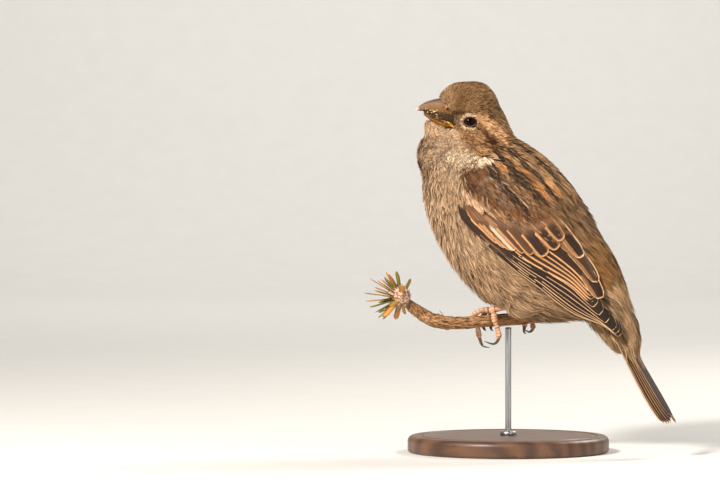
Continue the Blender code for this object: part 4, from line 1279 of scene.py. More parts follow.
def vane_values(kind, outer, inner, length, dice):
    """A large feather's colours and shares, from its kind: web, rim, edges, and the rest."""
    web, rim, (outer_edge, inner_edge, tip), start, wash, core, strength, _ = VANE_KINDS[kind]
    uneven = dice.uniform(0.8, 1.2, 3)
    return (web * dice.uniform(0.86, 1.14), rim * dice.uniform(0.92, 1.06),
            (outer_edge / outer * uneven[0], inner_edge / inner * uneven[1], start),
            (dice.random(), wash * dice.uniform(0.8, 1.0), strength * dice.uniform(0.75, 1.0)),
            tip / length * uneven[2], core + dice.uniform(-0.08, 0.08))


def vane_piece(name, made):
    """One piece from large feathers: each is its points, faces, places across and along, and
    vane_values."""
    points, faces, corners, start = [], [], [], 0
    values = {"vane": [], "web": [], "rim": [], "edges": [], "quill": [], "core": []}
    cells = math.ceil(math.sqrt(len(made)))
    for k, (place, quads, across, along, (web, rim, edges, quill, tip, core)) in enumerate(made):
        count = len(place)
        points.append(place)
        faces.append(quads + start)
        values["vane"].append(np.stack((across, along, np.full(count, tip)), -1))
        values["core"].append(np.full(count, core))
        for key, row in (("web", web), ("rim", rim), ("edges", edges), ("quill", quill)):
            values[key].append(np.tile(row, (count, 1)))
        cell = np.array((k % cells, k // cells))
        corners.append((cell + 0.5 + np.stack((across, along * 2 - 1), -1) * 0.44) / cells)
        start += count
    stack = np.concatenate
    return make_piece(name, stack(points), stack(faces), vanes(), corners=stack(corners),
                      values={key: stack(rows) for key, rows in values.items()})


WING_SEED, VANE_SEED = 40, 50
# The share of their length by which the greater coverts have come out from under the coat.
COVERTS_OUT = 0.42


def make_wing(word, side):
    """The large feathers of one folded wing."""
    dice = np.random.default_rng(WING_SEED)
    made = []
    for k, (kind, path, outer, inner, low, high) in enumerate(wing_rows()):
        soon = COVERTS_OUT if low < 0 or kind == "streak" else 1.0
        *grid, length = wing_vane(side, path, outer, inner, low, high, VANE_KINDS[kind][-1], soon,
                                  VANE_SEED + k)
        made.append((*grid, vane_values(kind, outer, inner, length, dice)))
    piece = vane_piece("wing_vanes_" + word, made)
    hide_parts("primaries_" + word)


# ---------------------------------------------------------------- tail

TAIL_PAIRS, TAIL_SEED = 6, 70
TAIL_HALF_WIDTH = 7.8
TAIL_FEATHER = 46.5


def tail_point(share, across, raised):
    """Points of the closed tail: the share down it, millimetres to its right, and millimetres above its
    middle."""
    ahead = unit(TAIL_LINE)
    above = np.array((-ahead[2], 0.0, ahead[0]))
    share, across, raised = np.broadcast_arrays(share, across, raised)
    sag = TAIL_CURL * across ** 2 / TAIL_HALF_WIDTH
    return (TAIL_ROOT + TAIL_LINE * share[..., None] + np.array((0.0, 1.0, 0.0)) * across[..., None]
            + above * (raised - sag)[..., None])


def make_tail():
    """Twelve tail feathers, closed, the middle pair on top, with a slightly notched end."""
    dice = np.random.default_rng(TAIL_SEED)
    rows, columns = 34, 11
    s, u = 1 - (1 - np.linspace(0, 1, rows)) ** 1.7, np.linspace(-1, 1, columns)
    made = []
    for pair, side in [(pair, side) for pair in range(TAIL_PAIRS - 1, -1, -1) for side in (LEFT, RIGHT)]:
        out = pair / (TAIL_PAIRS - 1)
        middle = side * (0.9 + 4.6 * out) * (0.45 + 0.55 * smooth(0.0, 0.8, s))
        outline = (1 - (2 * np.maximum(s - 0.5, 0)) ** 7) ** 0.5 * (0.5 + 0.5 * smooth(0, 0.4, s))
        half = 2.5 - 0.5 * out
        end = 0.955 + 0.045 * smooth(0, 0.5, out) - 0.02 * out ** 2
        across = middle[:, None] + half * outline[:, None] * u
        raised = 0.95 - 1.5 * out - 0.16 * u ** 2 + 0.1 * np.exp(-(u / 0.08) ** 2)
        raised = raised + (0.06 if side == LEFT else 0.0) - 0.5 * s[:, None] * (1 - out) * 0.3
        slant = -0.012 * side * u[None] * smooth(0.6, 1, s)[:, None]
        points = tail_point(s[:, None] * end + slant, across, raised)
        place, length = np.broadcast_arrays(u[None] * -side, s[:, None])
        kind = "outer tail" if pair == TAIL_PAIRS - 1 else "tail"
        made.append((points.reshape(-1, 3), grid_faces(rows, columns), place.ravel(), length.ravel(),
                     vane_values(kind, half, half, TAIL_FEATHER, dice)))
    piece = vane_piece("tail_vanes", made)
    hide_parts("tail")


# ---------------------------------------------------------------- bill

# Forward of the head's place, ridge, closing line, keel and half width, in the head's frame.
BILL = (
    (7.2, 6.2, -2.6, -5.3, 5.2),
    (10.6, 6.2, -1.8, -4.8, 4.4),
    (14.0, 5.7, -0.4, -3.2, 3.2),
    (17.4, 4.6, 1.2, -0.3, 1.8),
    (20.7, 2.3, 1.7, 1.1, 0.4),
)
BILL_PARTING = 0.01


def bill_half(upper, rows=48, around=40):
    """One half of the bill, finely made: its outer side as an arch over the closing line, and its inner
    side."""
    t = np.linspace(0, 1.0 if upper else 0.78, rows)
    forward, ridge, line, keel, half = curve(BILL, t).T
    turn = np.linspace(0, math.pi, around)
    arch = 0.86 if upper else 0.9
    if upper:
        rise = np.sin(turn)[None] ** arch * (ridge - line)[:, None] + line[:, None]
        # A slight pinch above the cutting edge, and the nostril by the feathers.
        wide = half[:, None] * np.cos(turn)[None] * (1 + 0.03 * np.sin(turn * 2)[None] ** 2)
    else:
        rise = (line[:, None] - BILL_PARTING - np.sin(turn)[None] ** arch
                * (line - BILL_PARTING - keel)[:, None])
        wide = half[:, None] * np.cos(turn)[None] * 0.94
    x = np.broadcast_to(-forward[:, None], wide.shape)
    outside = np.stack((x, wide, rise), -1)
    share = np.broadcast_to(t[:, None] / t[-1], wide.shape)
    edge = 1 - np.abs(np.sin(turn))[None] * np.ones((rows, 1))
    if upper:
        dip = np.exp(-((t[:, None] - 0.16) / 0.05) ** 2 - ((np.abs(np.cos(turn))[None] - 0.62) / 0.12) ** 2)
        outside = outside - np.stack((0 * dip, np.sign(wide) * dip * 0.5, dip * 0.3), -1)
    fine = np.stack((np.broadcast_to(turn[None] / math.pi, wide.shape), share, edge), -1)
    flat_rise = line if upper else line - BILL_PARTING
    flat = np.stack((x[:, ::-1][:, 1:-1], wide[:, ::-1][:, 1:-1],
                     np.repeat(flat_rise[:, None], around - 2, axis=1)), -1)
    ring = np.concatenate((outside, flat), axis=1)
    values = np.concatenate((fine, np.broadcast_to(fine[:, :1], flat.shape[:2] + (3,))), axis=1)
    columns = ring.shape[1]
    quads = grid_faces(rows, columns, closed=True)
    caps = np.arange(columns)[None], (np.arange(columns) + (rows - 1) * columns)[None]
    points = from_head(ring.reshape(-1, 3))
    return points, [quads if upper else quads[:, ::-1], *caps], values.reshape(-1, 3)


def beside_bill(x, z, side):
    """How far to the side the face or the bill reaches at a place of the head's frame."""
    start, end = from_head([(x, side * 14.0, z), (x, 0.0, z)])
    found = body_form()[3].ray_cast(Vector(start), Vector(unit(end - start)))[0]
    face = abs(to_head([tuple(found)])[0][1]) if found is not None else 0.0
    t = np.clip((-x - BILL[0][0]) / (BILL[-1][0] - BILL[0][0]), 0, 1)
    _, _, line, keel, half = curve(BILL, t)[0]
    fall = np.clip((line - z) / (line - keel), 0, 1)
    return side * max(face, half * math.sqrt(1 - fall ** 2))


def make_gape(word, side):
    """The swollen fold at one corner of the mouth, from the bill's cutting edge to behind it."""
    stops = [(-9.6, -2.4), (-8.8, -2.9), (-8.2, -3.4), (-7.6, -3.9), (-6.9, -4.5)]
    path = curve([(x, beside_bill(x, z, side) + side * 0.15, z) for x, z in stops], np.linspace(0, 1, 40))
    share = np.linspace(0, 1, 40)
    radii = 0.1 + 0.34 * np.sin(math.pi * (0.14 + 0.8 * share)) ** 0.8
    points, faces, shares = sweep(path, radii, 24, wave=lambda s, turn: 0.05
                                  * np.sin(s * 26 + np.cos(turn) * 2))
    make_piece("gape_" + word, from_head(points), faces, gape_skin(),
               values={"horn": np.column_stack((shares[:, 1], shares[:, 0], shares[:, 0] * 0))})


def make_bill():
    """The upper and the lower half of the bill, and the folds at the corners of the mouth."""
    for word, side in SIDES.items():
        make_gape(word, side)
    for name, upper, material, node in (("upper_bill", True, upper_horn(), "bill_upper"),
                                        ("lower_bill", False, lower_horn(), "bill_lower")):
        points, faces, horn = bill_half(upper)
        piece = make_piece(name, points, faces, material, values={"horn": horn})
        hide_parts(node)


# ---------------------------------------------------------------- eyes

def make_eye(word, side):
    """One eyeball: a fine sphere whose front bulges a little, with its iris and pupil set by the
    distance from the line of sight."""
    rings, around = 40, 64
    polar = np.linspace(0, math.pi, rings)[1:-1]
    turn = np.linspace(0, 2 * math.pi, around, endpoint=False)
    bulge = 1 + 0.05 * np.exp(-(polar / 0.55) ** 2)
    radius = (EYE_RADIUS * bulge)[:, None]
    a = radius * np.sin(polar)[:, None] * np.cos(turn)[None]
    c = radius * np.sin(polar)[:, None] * np.sin(turn)[None]
    b = np.broadcast_to(radius * np.cos(polar)[:, None], a.shape)
    middle = np.array((EYE_PLACE[0], side * EYE_PLACE[1], EYE_PLACE[2]))
    ball = np.stack((a, side * b, c), -1).reshape(-1, 3) + middle
    poles = middle + np.array(((0, side * EYE_RADIUS * 1.05, 0), (0, -side * EYE_RADIUS, 0)))
    points = from_head(np.concatenate((ball, poles)))
    reach = np.repeat(np.sin(np.minimum(polar, math.pi / 2)), around)
    eye = np.stack((np.tile(turn / (2 * math.pi), rings - 2), reach, reach * 0), -1)
    eye = np.concatenate((eye, ((0, 0, 0), (0, 1, 0))))
    faces = [grid_faces(rings - 2, around, closed=True), cap_faces(rings - 2, around)]
    if side == LEFT:
        faces = [f[:, ::-1] for f in faces]
    piece = make_piece("eyeball_" + word, points, faces, eyeball(), values={"eye": eye})
    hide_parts("eye_" + word)


# ---------------------------------------------------------------- legs, toes and claws

# The twig: x, y, z and radius, equally spaced from its cut end to its leafy tip.
TWIG = (
    (8.8, 19.0, 48.8, 2.15),
    (3.6, 8.0, 47.7, 2.2),
    (-3.6, -8.0, 47.2, 2.15),
    (-11.4, -16.6, 46.6, 2.2),
    (-18.2, -22.6, 47.4, 2.4),
    (-23.0, -26.4, 50.6, 2.1),
    (-26.2, -28.8, 53.6, 1.8),
)
FOOT_ROWS = {LEFT: 2, RIGHT: 1}
TOE_DROP = {LEFT: 1.0, RIGHT: 0.6}
HIND_REACH = {LEFT: 1.0, RIGHT: 0.88}
TWIG_STEP = 14.6
JOINT = (-0.9, 0.0, 4.0)
JOINT_RADIUS, TOE_RADIUS, CLAW_RADIUS = 1.45, 1.1, 0.55
# Each toe's stops: forward along the bird, outward from it and up, from the twig's middle. The last three
# are the claw's.
TOES = {
    "hind": ((-0.9, 0, 4.0), (-2.6, 0.3, 2.9), (-3.6, 0.5, 0.6), (-4.1, -0.3, -2.8), (-4.5, -0.5, -6.1),
             (-1.9, -0.2, -8.2), (2.4, 1.1, -7.3)),
    "inner": ((0.1, -0.8, 4.0), (2.2, -2.2, 3.0), (3.7, -3.0, 0.6), (3.8, -3.0, -0.9), (3.4, -2.8, -1.9),
              (2.6, -2.3, -3.2), (0.6, -1.7, -3.8)),
    "middle": ((0.3, 0.1, 4.0), (2.4, 0.5, 3.0), (3.8, 0.8, 0.6), (3.8, 0.8, -1.0), (3.5, 0.8, -2.0),
               (2.8, 0.7, -3.1), (1.6, 0.6, -3.6)),
    "outer": ((-0.1, 1.0, 4.0), (1.2, 4.6, 3.6), (3.4, 6.0, 1.6), (4.0, 3.4, -2.6), (3.8, 2.5, -6.1),
              (2.8, 1.5, -8.9), (0.0, 0.0, -9.6)),
}
CLAW_START = 4 / 6
ANKLES = {LEFT: (13.8, -10.6, 54.4), RIGHT: (20.2, 9.8, 54.6)}
TARSUS_RADIUS = 1.2


def foot_point(side, point):
    """A point of a foot's own terms, placed round the bent twig."""
    forward, outward, up = point
    up *= TOE_DROP[side] if up < 0 else 1
    forward *= HIND_REACH[side] if forward < -3.7 else 1
    t = (FOOT_ROWS[side] - side * outward / TWIG_STEP) / (len(TWIG) - 1)
    spot = curve(TWIG, t)[0, :3]
    along = curve(TWIG, t + 0.01)[0, :3] - spot
    ahead = unit(np.array((along[1], -along[0], 0.0)))
    return spot + ahead * forward + np.array((0.0, 0.0, up))


def scutes(count, height, rings):
    """The swelling of overlapping scales along a leg or toe: a saw's profile, strongest on the upper
    side."""
    def wave(share, turn):
        step = (share * count) % 1.0
        return height * (step ** 1.6 - 0.5) * (rings + (1 - rings) * np.clip(np.sin(turn), 0, 1))
    return wave


def scute_values(shares, count, pick):
    """How deep in a groove each point is, its share along, and the toe's number."""
    step = (shares[:, 0] * count) % 1.0
    groove = (np.where((step < 0.16) | (step > 0.96), 1.0, 0.0)
              * (0.4 + 0.6 * (np.sin(shares[:, 1] * 2 * math.pi) > -0.2)))
    return np.stack((groove, shares[:, 0], np.full(len(shares), pick)), -1)


def make_leg(word, side):
    """One tarsus with its toes, scaly all over, as one piece."""
    parts, values = [], []

    def add(path, radii, around, count, height, rings, pick):
        made = sweep(path, radii, around, wave=scutes(count, height, rings))
        parts.append(made)
        values.append(scute_values(made[2], count, pick))

    joint = foot_point(side, JOINT)
    ankle = np.array(ANKLES[side])
    leg = curve((ankle, (ankle * 2 + joint) / 3 + (0, 0, 0.1), (ankle + joint * 2) / 3, joint),
                np.linspace(0, 1, 64))
    radii = TARSUS_RADIUS * curve(((1.2,), (1.0,), (0.92,), (0.95,), (1.1,)), np.linspace(0, 1, 64))[:, 0]
    add(leg, radii, 28, 7, 0.16, 0.35, 0.3)
    ball = np.linspace(-1, 1, 24)
    knob = [joint + np.array((0.3, 0, -0.1)) + unit(joint - ankle) * JOINT_RADIUS * b * 1.1 for b in ball]
    add(knob, JOINT_RADIUS * np.sqrt(np.maximum(1 - ball ** 2, 0.02)), 28, 3, 0.1, 0.6, 0.5)
    for index, stops in enumerate(TOES.values()):
        line = np.array([foot_point(side, p) for p in stops])
        t = np.linspace(0.02, CLAW_START + 0.01, 72)
        path = curve(line, t)
        pads = 1 + 0.12 * np.cos(t * 6 * math.pi + 0.6) + 0.05 * np.cos(t * 17 * math.pi + index)
        radii = TOE_RADIUS * (1 - 0.25 * t) * pads
        radii = radii * (1 - 0.4 * smooth(CLAW_START - 0.05, CLAW_START + 0.01, t))
        add(path, radii, 24, 13 if index == 0 else 11, 0.17, 0.4, 0.2 * index)
    points, faces, _ = joined(parts)
    piece = make_piece("leg_" + word, points, faces, leg_skin(),
                       values={"scute": np.concatenate(values)})
    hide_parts("tarsus_" + word, "foot_" + word)


def make_claws(word, side):
    """The four claws of one foot: curved, deeper than wide, tapering to points."""
    for name, stops in TOES.items():
        line = np.array([foot_point(side, p) for p in stops])
        t = np.linspace(CLAW_START - 0.02, 1, 40)
        share = (t - t[0]) / (t[-1] - t[0])
        radii = CLAW_RADIUS * 1.15 * (1 - 0.93 * share ** 1.4)
        points, faces, shares = sweep(curve(line, t), radii, flat=1.18)
        horn = np.stack((shares[:, 1], shares[:, 0], shares[:, 0] * 0), -1)
        piece = make_piece(f"claw_horn_{name}_{word}", points, faces, claw_horn(), {"horn": horn})
        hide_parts(f"claw_{name}_{word}")


# ---------------------------------------------------------------- twig and needles

TUFT_PLACE = (-28.6, -30.6, 56.0)
TUFT_RADIUS, TUFT_REACH, TUFT_MEAN = 3.7, 4.0, 3.8
LEAF_WAY = (-0.90, -0.42, 0.10)
LEAVES, MORE_LEAVES = 16, 22
NEEDLE_SEED, BUD_SEED = 91, 92
LEAF_LENGTHS = (13.0, 7.6)
LEAF_LEANS = (12, 118)
GOLDEN_TURN = math.radians(137.5)


# The leaf scars: share along the twig, turn round it and height.
KNOTS = ((0.12, 1.0, 0.35), (0.30, 4.0, 0.3), (0.44, 2.4, 0.35), (0.58, 5.2, 0.3), (0.665, 1.4, 0.5),
         (0.74, 3.6, 0.35), (0.86, 0.6, 0.4), (0.93, 4.4, 0.3))


def turned_from(angle, way):
    """How far angles are turned from a way, in radians."""
    return np.abs((angle - way + math.pi) % (2 * math.pi) - math.pi)


def make_twig():
    """The cut length of twig: ribbed dry bark with swellings at old leaf scars, and a pale cut end."""
    rows, around = 420, 72
    t = np.linspace(0, 1, rows)
    line = curve(TWIG, t)

    def swell(share, angle):
        def ridged(fineness, speed, seed):
            places = [(math.cos(a + share * 2) * fineness, math.sin(a + share * 2) * fineness, share
                       * speed + seed)
                      for a in angle]
            return np.array([noise.noise(Vector(p)) for p in places])

        out = 0.30 * ridged(2.6, 7.0, 0) + 0.24 * ridged(6.5, 16.0, 9) + 0.14 * ridged(13.0, 30.0, 5) - 0.06
        for place, way, height in KNOTS:
            out = (out + height * np.exp(-((share - place) / 0.012) ** 2
                                         - (turned_from(angle, way) / 0.55) ** 2))
            out = out + 0.18 * height * np.exp(-((share - place) / 0.016) ** 2)
        return out

    points, faces, shares = sweep(line[:, :3], line[:, 3] * 0.985, around, wave=swell)
    knot = np.zeros(len(shares))
    for place, way, _ in KNOTS:
        away = turned_from(shares[:, 1] * 2 * math.pi, way)
        knot = np.maximum(knot, np.exp(-((shares[:, 0] - place) / 0.014) ** 2 - (away / 0.6) ** 2))
    knot[np.r_[-2:0]] = 1.0
    twig = np.stack((shares[:, 1], shares[:, 0] * 12, knot), -1)
    piece = make_piece("twig", points, faces, bark(), values={"twig": twig})
    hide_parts("perch")


def leaf_blade(root, way, length, bend, half, turned, rows=24, columns=7):
    """One flat needle with a raised midrib and a short point: points, faces and its values."""
    way = unit(np.asarray(way, float))
    side = unit(np.cross(way, (0.3, 0.2, 1.0)))
    above = np.cross(side, way)
    s, u = np.linspace(0, 1, rows), np.linspace(-1, 1, columns)
    middle = np.asarray(root) + way * (s * length)[:, None] + bend * (s ** 2)[:, None] * length
    outline = half * np.minimum(1, (1 - s) / 0.16) ** 0.5 * (0.55 + 0.45 * smooth(0, 0.25, s))
    rise = 0.22 * (1 - np.abs(u)) - 0.10
    top = (middle[:, None] + side * (outline[:, None] * u)[..., None] + above
           * (rise[None] * outline[:, None])[..., None])
    under = (middle[:, None] + side * (outline[:, None] * u[::-1])[..., None] - above * 0.22
             * outline[:, None, None])
    ring = np.concatenate((top, under[:, 1:-1]), axis=1)
    across = np.concatenate((u, u[::-1][1:-1]))
    values = np.stack(np.broadcast_arrays(across[None], s[:, None], turned), -1)
    faces = grid_faces(rows, ring.shape[1], closed=True)
    return ring.reshape(-1, 3), [faces[:, ::-1]], values.reshape(-1, 3)


def make_needles(more, mean_length):
    """The tuft of needles at the twig's tip, with so many more small ones of this mean length, and a
    small sprig further down."""
    dice = np.random.default_rng(NEEDLE_SEED)
    axis = unit(np.array(LEAF_WAY))
    first = unit(np.cross(axis, (0, 0, 1)))
    second = np.cross(axis, first)
    blades = []

    def add(lean, turn, length, bend, half):
        way = axis * math.cos(lean) + (first * math.cos(turn) + second * math.sin(turn)) * math.sin(lean)
        root = np.array(TUFT_PLACE) + way * 1.5
        blades.append(leaf_blade(root, way, length, bend * math.sin(lean), half, dice.random()))

    for index in range(LEAVES):
        share = index / (LEAVES - 1)
        lean = math.radians(LEAF_LEANS[0] + (LEAF_LEANS[1] - LEAF_LEANS[0]) * share)
        length = LEAF_LENGTHS[0] + (LEAF_LENGTHS[1] - LEAF_LENGTHS[0]) * share
        add(lean, index * GOLDEN_TURN, length - 1.5, axis * 0.10 + (0, 0, 0.06), 1.12)
    for index in range(more):
        lean, curl = math.radians(dice.uniform(12, 75)), dice.uniform(0.0, 0.22)
        add(lean, index * GOLDEN_TURN + 1.0, mean_length + dice.uniform(-2.0, 2.0), axis * curl, 1.05)
    spot = curve(TWIG, 0.60)[0, :3]
    for k, (way, length) in enumerate((((-0.5, -0.6, 0.9), 3.4), ((-0.9, -0.3, 0.5), 2.8),
                                       ((-0.2, -0.9, 0.4), 2.6))):
        blades.append(leaf_blade(spot + np.array((0, 0, 1.9)), way, length, np.zeros(3), 0.45, 0.1 * k))
    points, faces, values = joined(blades)
    piece = make_piece("needles", points, faces, leaf(), {"blade": values})
    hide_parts("perch_tuft")


def make_bud():
    """The woolly bud that the needles grow from: overlapping small scales with fluffy edges."""
    dice = np.random.default_rng(BUD_SEED)
    axis = unit(np.array(LEAF_WAY) + (0.1, 0.1, 0.3))
    first = unit(np.cross(axis, (0, 0, 1)))
    second = np.cross(axis, first)
    count = 260
    centre = np.array(TUFT_PLACE)
    rows, columns = 6, 5
    s, u = np.linspace(0, 1, rows), np.linspace(-1, 1, columns)
    points, values = [], []
    for k in range(count):
        height = 1 - 2 * (k + 0.5) / count
        ring = math.sqrt(1 - height * height)
        turn = k * GOLDEN_TURN
        out = axis * height + (first * math.cos(turn) + second * math.sin(turn)) * ring
        up = unit(axis - out * (axis @ out) + 0.05 * first)
        side = np.cross(up, out)
        length, half = dice.uniform(1.4, 3.0), dice.uniform(0.35, 0.7)
        outline = half * np.sin(math.pi * (0.15 + 0.83 * s)) ** 0.8
        rise = TUFT_MEAN * 0.84 + dice.uniform(0.1, 0.5) + s * dice.uniform(0.1, 0.9)
        middle = centre + out * rise[:, None] + up * ((s - 0.4) * length)[:, None]
        cup = -0.3 * (u ** 2)[None] * outline[:, None]
        blade = middle[:, None] + side * (outline[:, None] * u)[..., None] + out * cup[..., None]
        points.append(blade.reshape(-1, 3))
        values.append(np.stack(np.broadcast_arrays(u[None], s[:, None], dice.random()), -1).reshape(-1, 3))
    core_t = np.linspace(-1, 1, 30)
    core = sweep(centre + axis * (core_t * TUFT_REACH * 0.84)[:, None],
                 TUFT_RADIUS * 0.84 * np.sqrt(np.maximum(1 - core_t ** 2, 0.01)), 40)
    start = sum(len(p) for p in points)
    faces = [np.concatenate((grid_faces(rows, columns, count), core[1][0] + start)), core[1][1] + start]
    values.append(np.column_stack((core[2], core[2][:, 0] * 0)))
    make_piece("bud", np.concatenate([*points, core[0]]), faces, wool(),
               values={"bud": np.concatenate(values)})


# ---------------------------------------------------------------- stand and stage

def make_stand():
    """The turned base with a rounded edge and a shallow groove, and the steel rod with its collar."""
    low, high = (np.array(corner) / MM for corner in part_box("stand_base"))
    radius, height = (high[0] - low[0]) / 2, high[2]
    profile = [(0.0, 0.0), (radius - 1.2, 0.0)]
    profile += [(radius - 1.2 + 1.2 * math.sin(a), 1.2 - 1.2 * math.cos(a))
                for a in np.linspace(0.2, 1.57, 8)]
    profile += [(radius - 2.0 + 2.0 * math.cos(a), height - 2.0 + 2.0 * math.sin(a))
                for a in np.linspace(0, 1.57, 12)]
    profile += [(radius - 4.0, height), (radius - 4.4, height - 0.35), (radius - 5.0, height - 0.35),
                (radius - 5.4, height), (6.0, height), (0.0, height)]
    around = 160
    turn = np.linspace(0, 2 * math.pi, around, endpoint=False)
    rings = np.array(profile[1:-1])
    points = np.stack((rings[:, :1] * np.cos(turn), rings[:, :1] * np.sin(turn),
                       np.repeat(rings[:, 1:], around, axis=1)), -1).reshape(-1, 3)
    caps = [np.arange(around)[None, ::-1], (np.arange(around) + (len(rings) - 1) * around)[None]]
    base = make_piece("stand_turned_base", points, [grid_faces(len(rings), around, closed=True), *caps],
                      turned_wood())
    base.data.set_sharp_from_angle(angle=math.radians(40))
    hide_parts("stand_base")
    low, high = (np.array(corner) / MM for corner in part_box("stand_rod"))
    middle = (low + high) / 2
    stops = np.array([(middle[0], middle[1], z) for z in np.linspace(low[2], high[2], 60)])
    radii = np.full(60, (high[0] - low[0]) / 2)
    points, faces, _ = sweep(stops, radii, 40)
    rod = make_piece("stand_steel_rod", points, faces, steel())
    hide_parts("stand_rod")
    rise = np.array((-0.1, 0.0, 1.2, 1.5, 1.6, 1.6)) + height
    wide = np.array((2.6, 2.9, 2.9, 2.6, 1.9, 1.0))
    points, faces, _ = sweep(np.stack((rise * 0 + middle[0], rise * 0 + middle[1], rise), -1), wide, 48)
    make_piece("stand_collar", points, faces, steel())


CAMERA_TURN, CAMERA_TILT = math.radians(25), math.radians(1.5)
CAMERA_AWAY, CAMERA_LENS = 1600.0, 224.0
CAMERA_AIM = (-53.0, 74.2)
ROOM_COLOUR = (1.0, 0.985, 0.965, 1.0)


def area_lamp(name, place, size, power, colour, aim=(0.0, 0.0, 80.0)):
    """One soft lamp, aimed at the bird."""
    lamp = bpy.data.lights.new(name, "AREA")
    lamp.shape, lamp.size, lamp.energy, lamp.color = "DISK", size * MM, power, colour
    holder = bpy.data.objects.new(name, lamp)
    bpy.context.scene.collection.objects.link(holder)
    holder.location = Vector(place) * MM
    holder.rotation_euler = (Vector(aim) - Vector(place)).to_track_quat("-Z", "Y").to_euler()


def make_stage(settings):
    """The pale floor and backdrop, the soft lamps and the camera."""
    right = np.array((math.cos(CAMERA_TURN), math.sin(CAMERA_TURN), 0.0))
    look = np.array((-math.sin(CAMERA_TURN) * math.cos(CAMERA_TILT), math.cos(CAMERA_TURN)
                     * math.cos(CAMERA_TILT),
                     -math.sin(CAMERA_TILT)))
    back = np.array((look[0], look[1], 0.0))
    # One sheet of card: flat floor, then a wide bend up into the backdrop.
    bend = [(-2600.0, 0.0), (1500.0, 0.0)]
    bend += [(1500 + 600 * math.sin(a), 600 - 600 * math.cos(a)) for a in np.linspace(0.1, math.pi / 2, 16)]
    bend += [(2100.0, 3200.0)]
    wide = np.linspace(-3600, 3600, 5)
    points = [back * depth + right * across + (0, 0, rise) for depth, rise in bend for across in wide]
    mesh = bpy.data.meshes.new("studio_card")
    mesh.from_pydata([tuple(p * MM) for p in points], [], grid_faces(len(bend), 5).tolist())
    mesh.materials.append(paper())
    mesh.shade_smooth()
    floor = bpy.data.objects.new("studio_card", mesh)
    bpy.context.scene.collection.objects.link(floor)

    camera = bpy.data.cameras.new("camera")
    camera.lens, camera.sensor_width, camera.clip_start = CAMERA_LENS, 36.0, 0.01
    holder = bpy.data.objects.new("camera", camera)
    bpy.context.scene.collection.objects.link(holder)
    aim = right * CAMERA_AIM[0] + (0, 0, CAMERA_AIM[1])
    holder.location = Vector(aim - look * CAMERA_AWAY) * MM
    holder.rotation_euler = Vector(look).to_track_quat("-Z", "Y").to_euler()
    bpy.context.scene.camera = holder

    for name, depth, across, rise, size, colour in (
            ("key", -700, -520, 620, 190, (1.0, 0.95, 0.88)),
            ("fill", -800, 700, 260, 700, (1.0, 0.97, 0.94)),
            ("rim", 420, 520, 560, 300, (1.0, 0.96, 0.9))):
        place = back * depth + right * across + (0, 0, rise)
        area_lamp(name, place, size, getattr(settings, name + "_power"), colour)
    area_lamp("backdrop", back * 1200 + (0, 0, 1000), 900, settings.backdrop_power, (1.0, 0.98, 0.96),
              aim=back * 2100 + (0, 0, 200))
    world = bpy.data.worlds.new("studio")
    world.use_nodes = True
    background = world.node_tree.nodes["Background"].inputs
    background["Color"].default_value = ROOM_COLOUR
    background["Strength"].default_value = settings.room_light
    bpy.context.scene.world = world
    bpy.context.scene.view_settings.view_transform = "Standard"


# ---------------------------------------------------------------- add-on

def colour_setting(name, label):
    """A setting for one of the coat's colours."""
    return bpy.props.FloatVectorProperty(name=label, description=f"Colour of the {name}'s feathers", size=3,
                                         subtype="COLOR", default=COLOURS[name], min=0.0, max=1.0)


def lamp_setting(label, description, default):
    """A setting for the power of one of the lamps."""
    return bpy.props.FloatProperty(name=label, description=description, default=default, min=0.0,
                                   unit="POWER")


class SparrowStage(bpy.types.PropertyGroup):
    """The studio's lamps."""

    key_power: lamp_setting("Key lamp", "Power of the main lamp", 15.5)
    fill_power: lamp_setting("Fill lamp", "Power of the fill lamp", 2.2)
    rim_power: lamp_setting("Rim lamp", "Power of the lamp behind", 5.0)
    backdrop_power: lamp_setting("Backdrop lamp", "Power of the lamp on the backdrop", 7.5)
    room_light: bpy.props.FloatProperty(name="Room light",
                                        description="Strength of the even light all round",
                                        default=0.31, min=0.0)


class SparrowPlumage(bpy.types.PropertyGroup):
    """The coat's sizes and its main colours."""

    feather_length: bpy.props.FloatProperty(name="Feather length", default=1.0, min=0.5, max=1.3,
                                            subtype="FACTOR",
                                            description="Length of small feathers, as a share of the usual")
    feather_width: bpy.props.FloatProperty(name="Feather width", default=1.0, min=0.5, max=1.5,
                                           subtype="FACTOR",
                                           description="Width of the small feathers, as a share of the usual")
    crown: colour_setting("crown", "Crown")
    breast: colour_setting("breast", "Breast")
    belly: colour_setting("belly", "Belly")
    mantle: colour_setting("mantle", "Back's pale streaks")
    covert: colour_setting("covert", "Shoulder")
    rump: colour_setting("rump", "Rump")


class SparrowPerch(bpy.types.PropertyGroup):
    """The twig's needles."""

    needles: bpy.props.IntProperty(name="Small needles", default=MORE_LEAVES, min=0, max=60,
                                   description="Number of small needles between the long ones")
    needle_length: bpy.props.FloatProperty(name="Small needle's length", default=0.0075, min=0.004,
                                           max=0.009,
                                           unit="LENGTH", description="Mean length of the small needles")


class PlainStep(bpy.types.Operator):
    """Makes one group of the sparrow's pieces."""

    bl_options = {"REGISTER", "UNDO"}

    def execute(self, context):
        for name in COLOURS:
            if name in SparrowPlumage.__annotations__:
                COLOURS[name] = tuple(getattr(context.scene.sparrow_plumage, name))
        self.make(context)
        return {"FINISHED"}


class SPARROW_OT_skin(PlainStep):
    """Make the skin with the lids"""

    bl_idname, bl_label = "sparrow.skin", "Skin"

    def make(self, context):
        make_skin()


class SPARROW_OT_coat(PlainStep):
    """Grow the small feathers of the head, body and shoulders"""

    bl_idname, bl_label = "sparrow.coat", "Coat"

    def make(self, context):
        plumes = context.scene.sparrow_plumage
        make_coat(split_sites(), plumes.feather_length, plumes.feather_width)


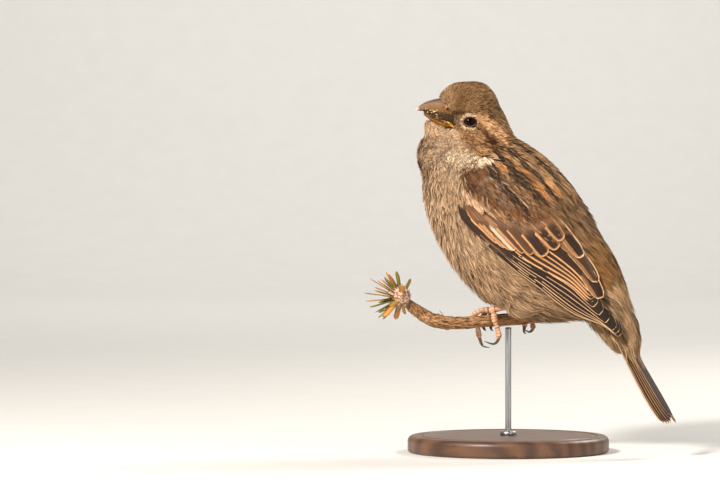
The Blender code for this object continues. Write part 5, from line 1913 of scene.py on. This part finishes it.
class SPARROW_OT_wings(PlainStep):
    """Make the large feathers of both folded wings"""

    bl_idname, bl_label = "sparrow.wings", "Wings"

    def make(self, context):
        for word, side in SIDES.items():
            make_wing(word, side)


class SPARROW_OT_tail(PlainStep):
    """Make the tail feathers"""

    bl_idname, bl_label = "sparrow.tail", "Tail"

    def make(self, context):
        make_tail()


class SPARROW_OT_bill(PlainStep):
    """Make both halves of the bill"""

    bl_idname, bl_label = "sparrow.bill", "Bill"

    def make(self, context):
        make_bill()


class SPARROW_OT_eyes(PlainStep):
    """Make the eyes"""

    bl_idname, bl_label = "sparrow.eyes", "Eyes"

    def make(self, context):
        for word, side in SIDES.items():
            make_eye(word, side)


class SPARROW_OT_legs(PlainStep):
    """Make the legs, toes and claws"""

    bl_idname, bl_label = "sparrow.legs", "Legs and claws"

    def make(self, context):
        for word, side in SIDES.items():
            make_leg(word, side)
            make_claws(word, side)


class SPARROW_OT_perch(PlainStep):
    """Make the twig, its needles and the bud"""

    bl_idname, bl_label = "sparrow.perch", "Twig and needles"

    def make(self, context):
        make_twig()
        perch = context.scene.sparrow_perch
        make_needles(perch.needles, perch.needle_length / MM)
        make_bud()


class SPARROW_OT_stand(PlainStep):
    """Make the stand"""

    bl_idname, bl_label = "sparrow.stand", "Stand"

    def make(self, context):
        make_stand()


class SPARROW_OT_stage(PlainStep):
    """Set up the floor, the lamps and the camera"""

    bl_idname, bl_label = "sparrow.stage", "Stage"

    def make(self, context):
        make_stage(context.scene.sparrow_stage)


STEPS = (SPARROW_OT_stage, SPARROW_OT_skin, SPARROW_OT_coat, SPARROW_OT_wings, SPARROW_OT_tail,
         SPARROW_OT_bill,
         SPARROW_OT_eyes, SPARROW_OT_legs, SPARROW_OT_perch, SPARROW_OT_stand)


class VIEW3D_PT_sparrow(bpy.types.Panel):
    """Lists the steps and the settings of the model."""

    bl_label = "House sparrow"
    bl_space_type, bl_region_type, bl_category = "VIEW_3D", "UI", "Sparrow"

    def draw(self, context):
        for step in STEPS:
            self.layout.operator(step.bl_idname)
        for name, group in GROUPS.items():
            self.layout.label(text=name.split("_")[1].capitalize())
            for setting in group.__annotations__:
                self.layout.prop(getattr(context.scene, name), setting)


GROUPS = {"sparrow_plumage": SparrowPlumage, "sparrow_perch": SparrowPerch, "sparrow_stage": SparrowStage}
CLASSES = (*GROUPS.values(), *STEPS, VIEW3D_PT_sparrow)


def register():
    for kind in CLASSES:
        bpy.utils.register_class(kind)
    for name, group in GROUPS.items():
        setattr(bpy.types.Scene, name, bpy.props.PointerProperty(type=group))


def unregister():
    for name in GROUPS:
        delattr(bpy.types.Scene, name)
    for kind in reversed(CLASSES):
        bpy.utils.unregister_class(kind)


def main():
    """Makes every piece."""
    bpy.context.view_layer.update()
    register()
    for step in STEPS:
        group, name = step.bl_idname.split(".")
        getattr(getattr(bpy.ops, group), name)()


if __name__ == "__main__":
    main()
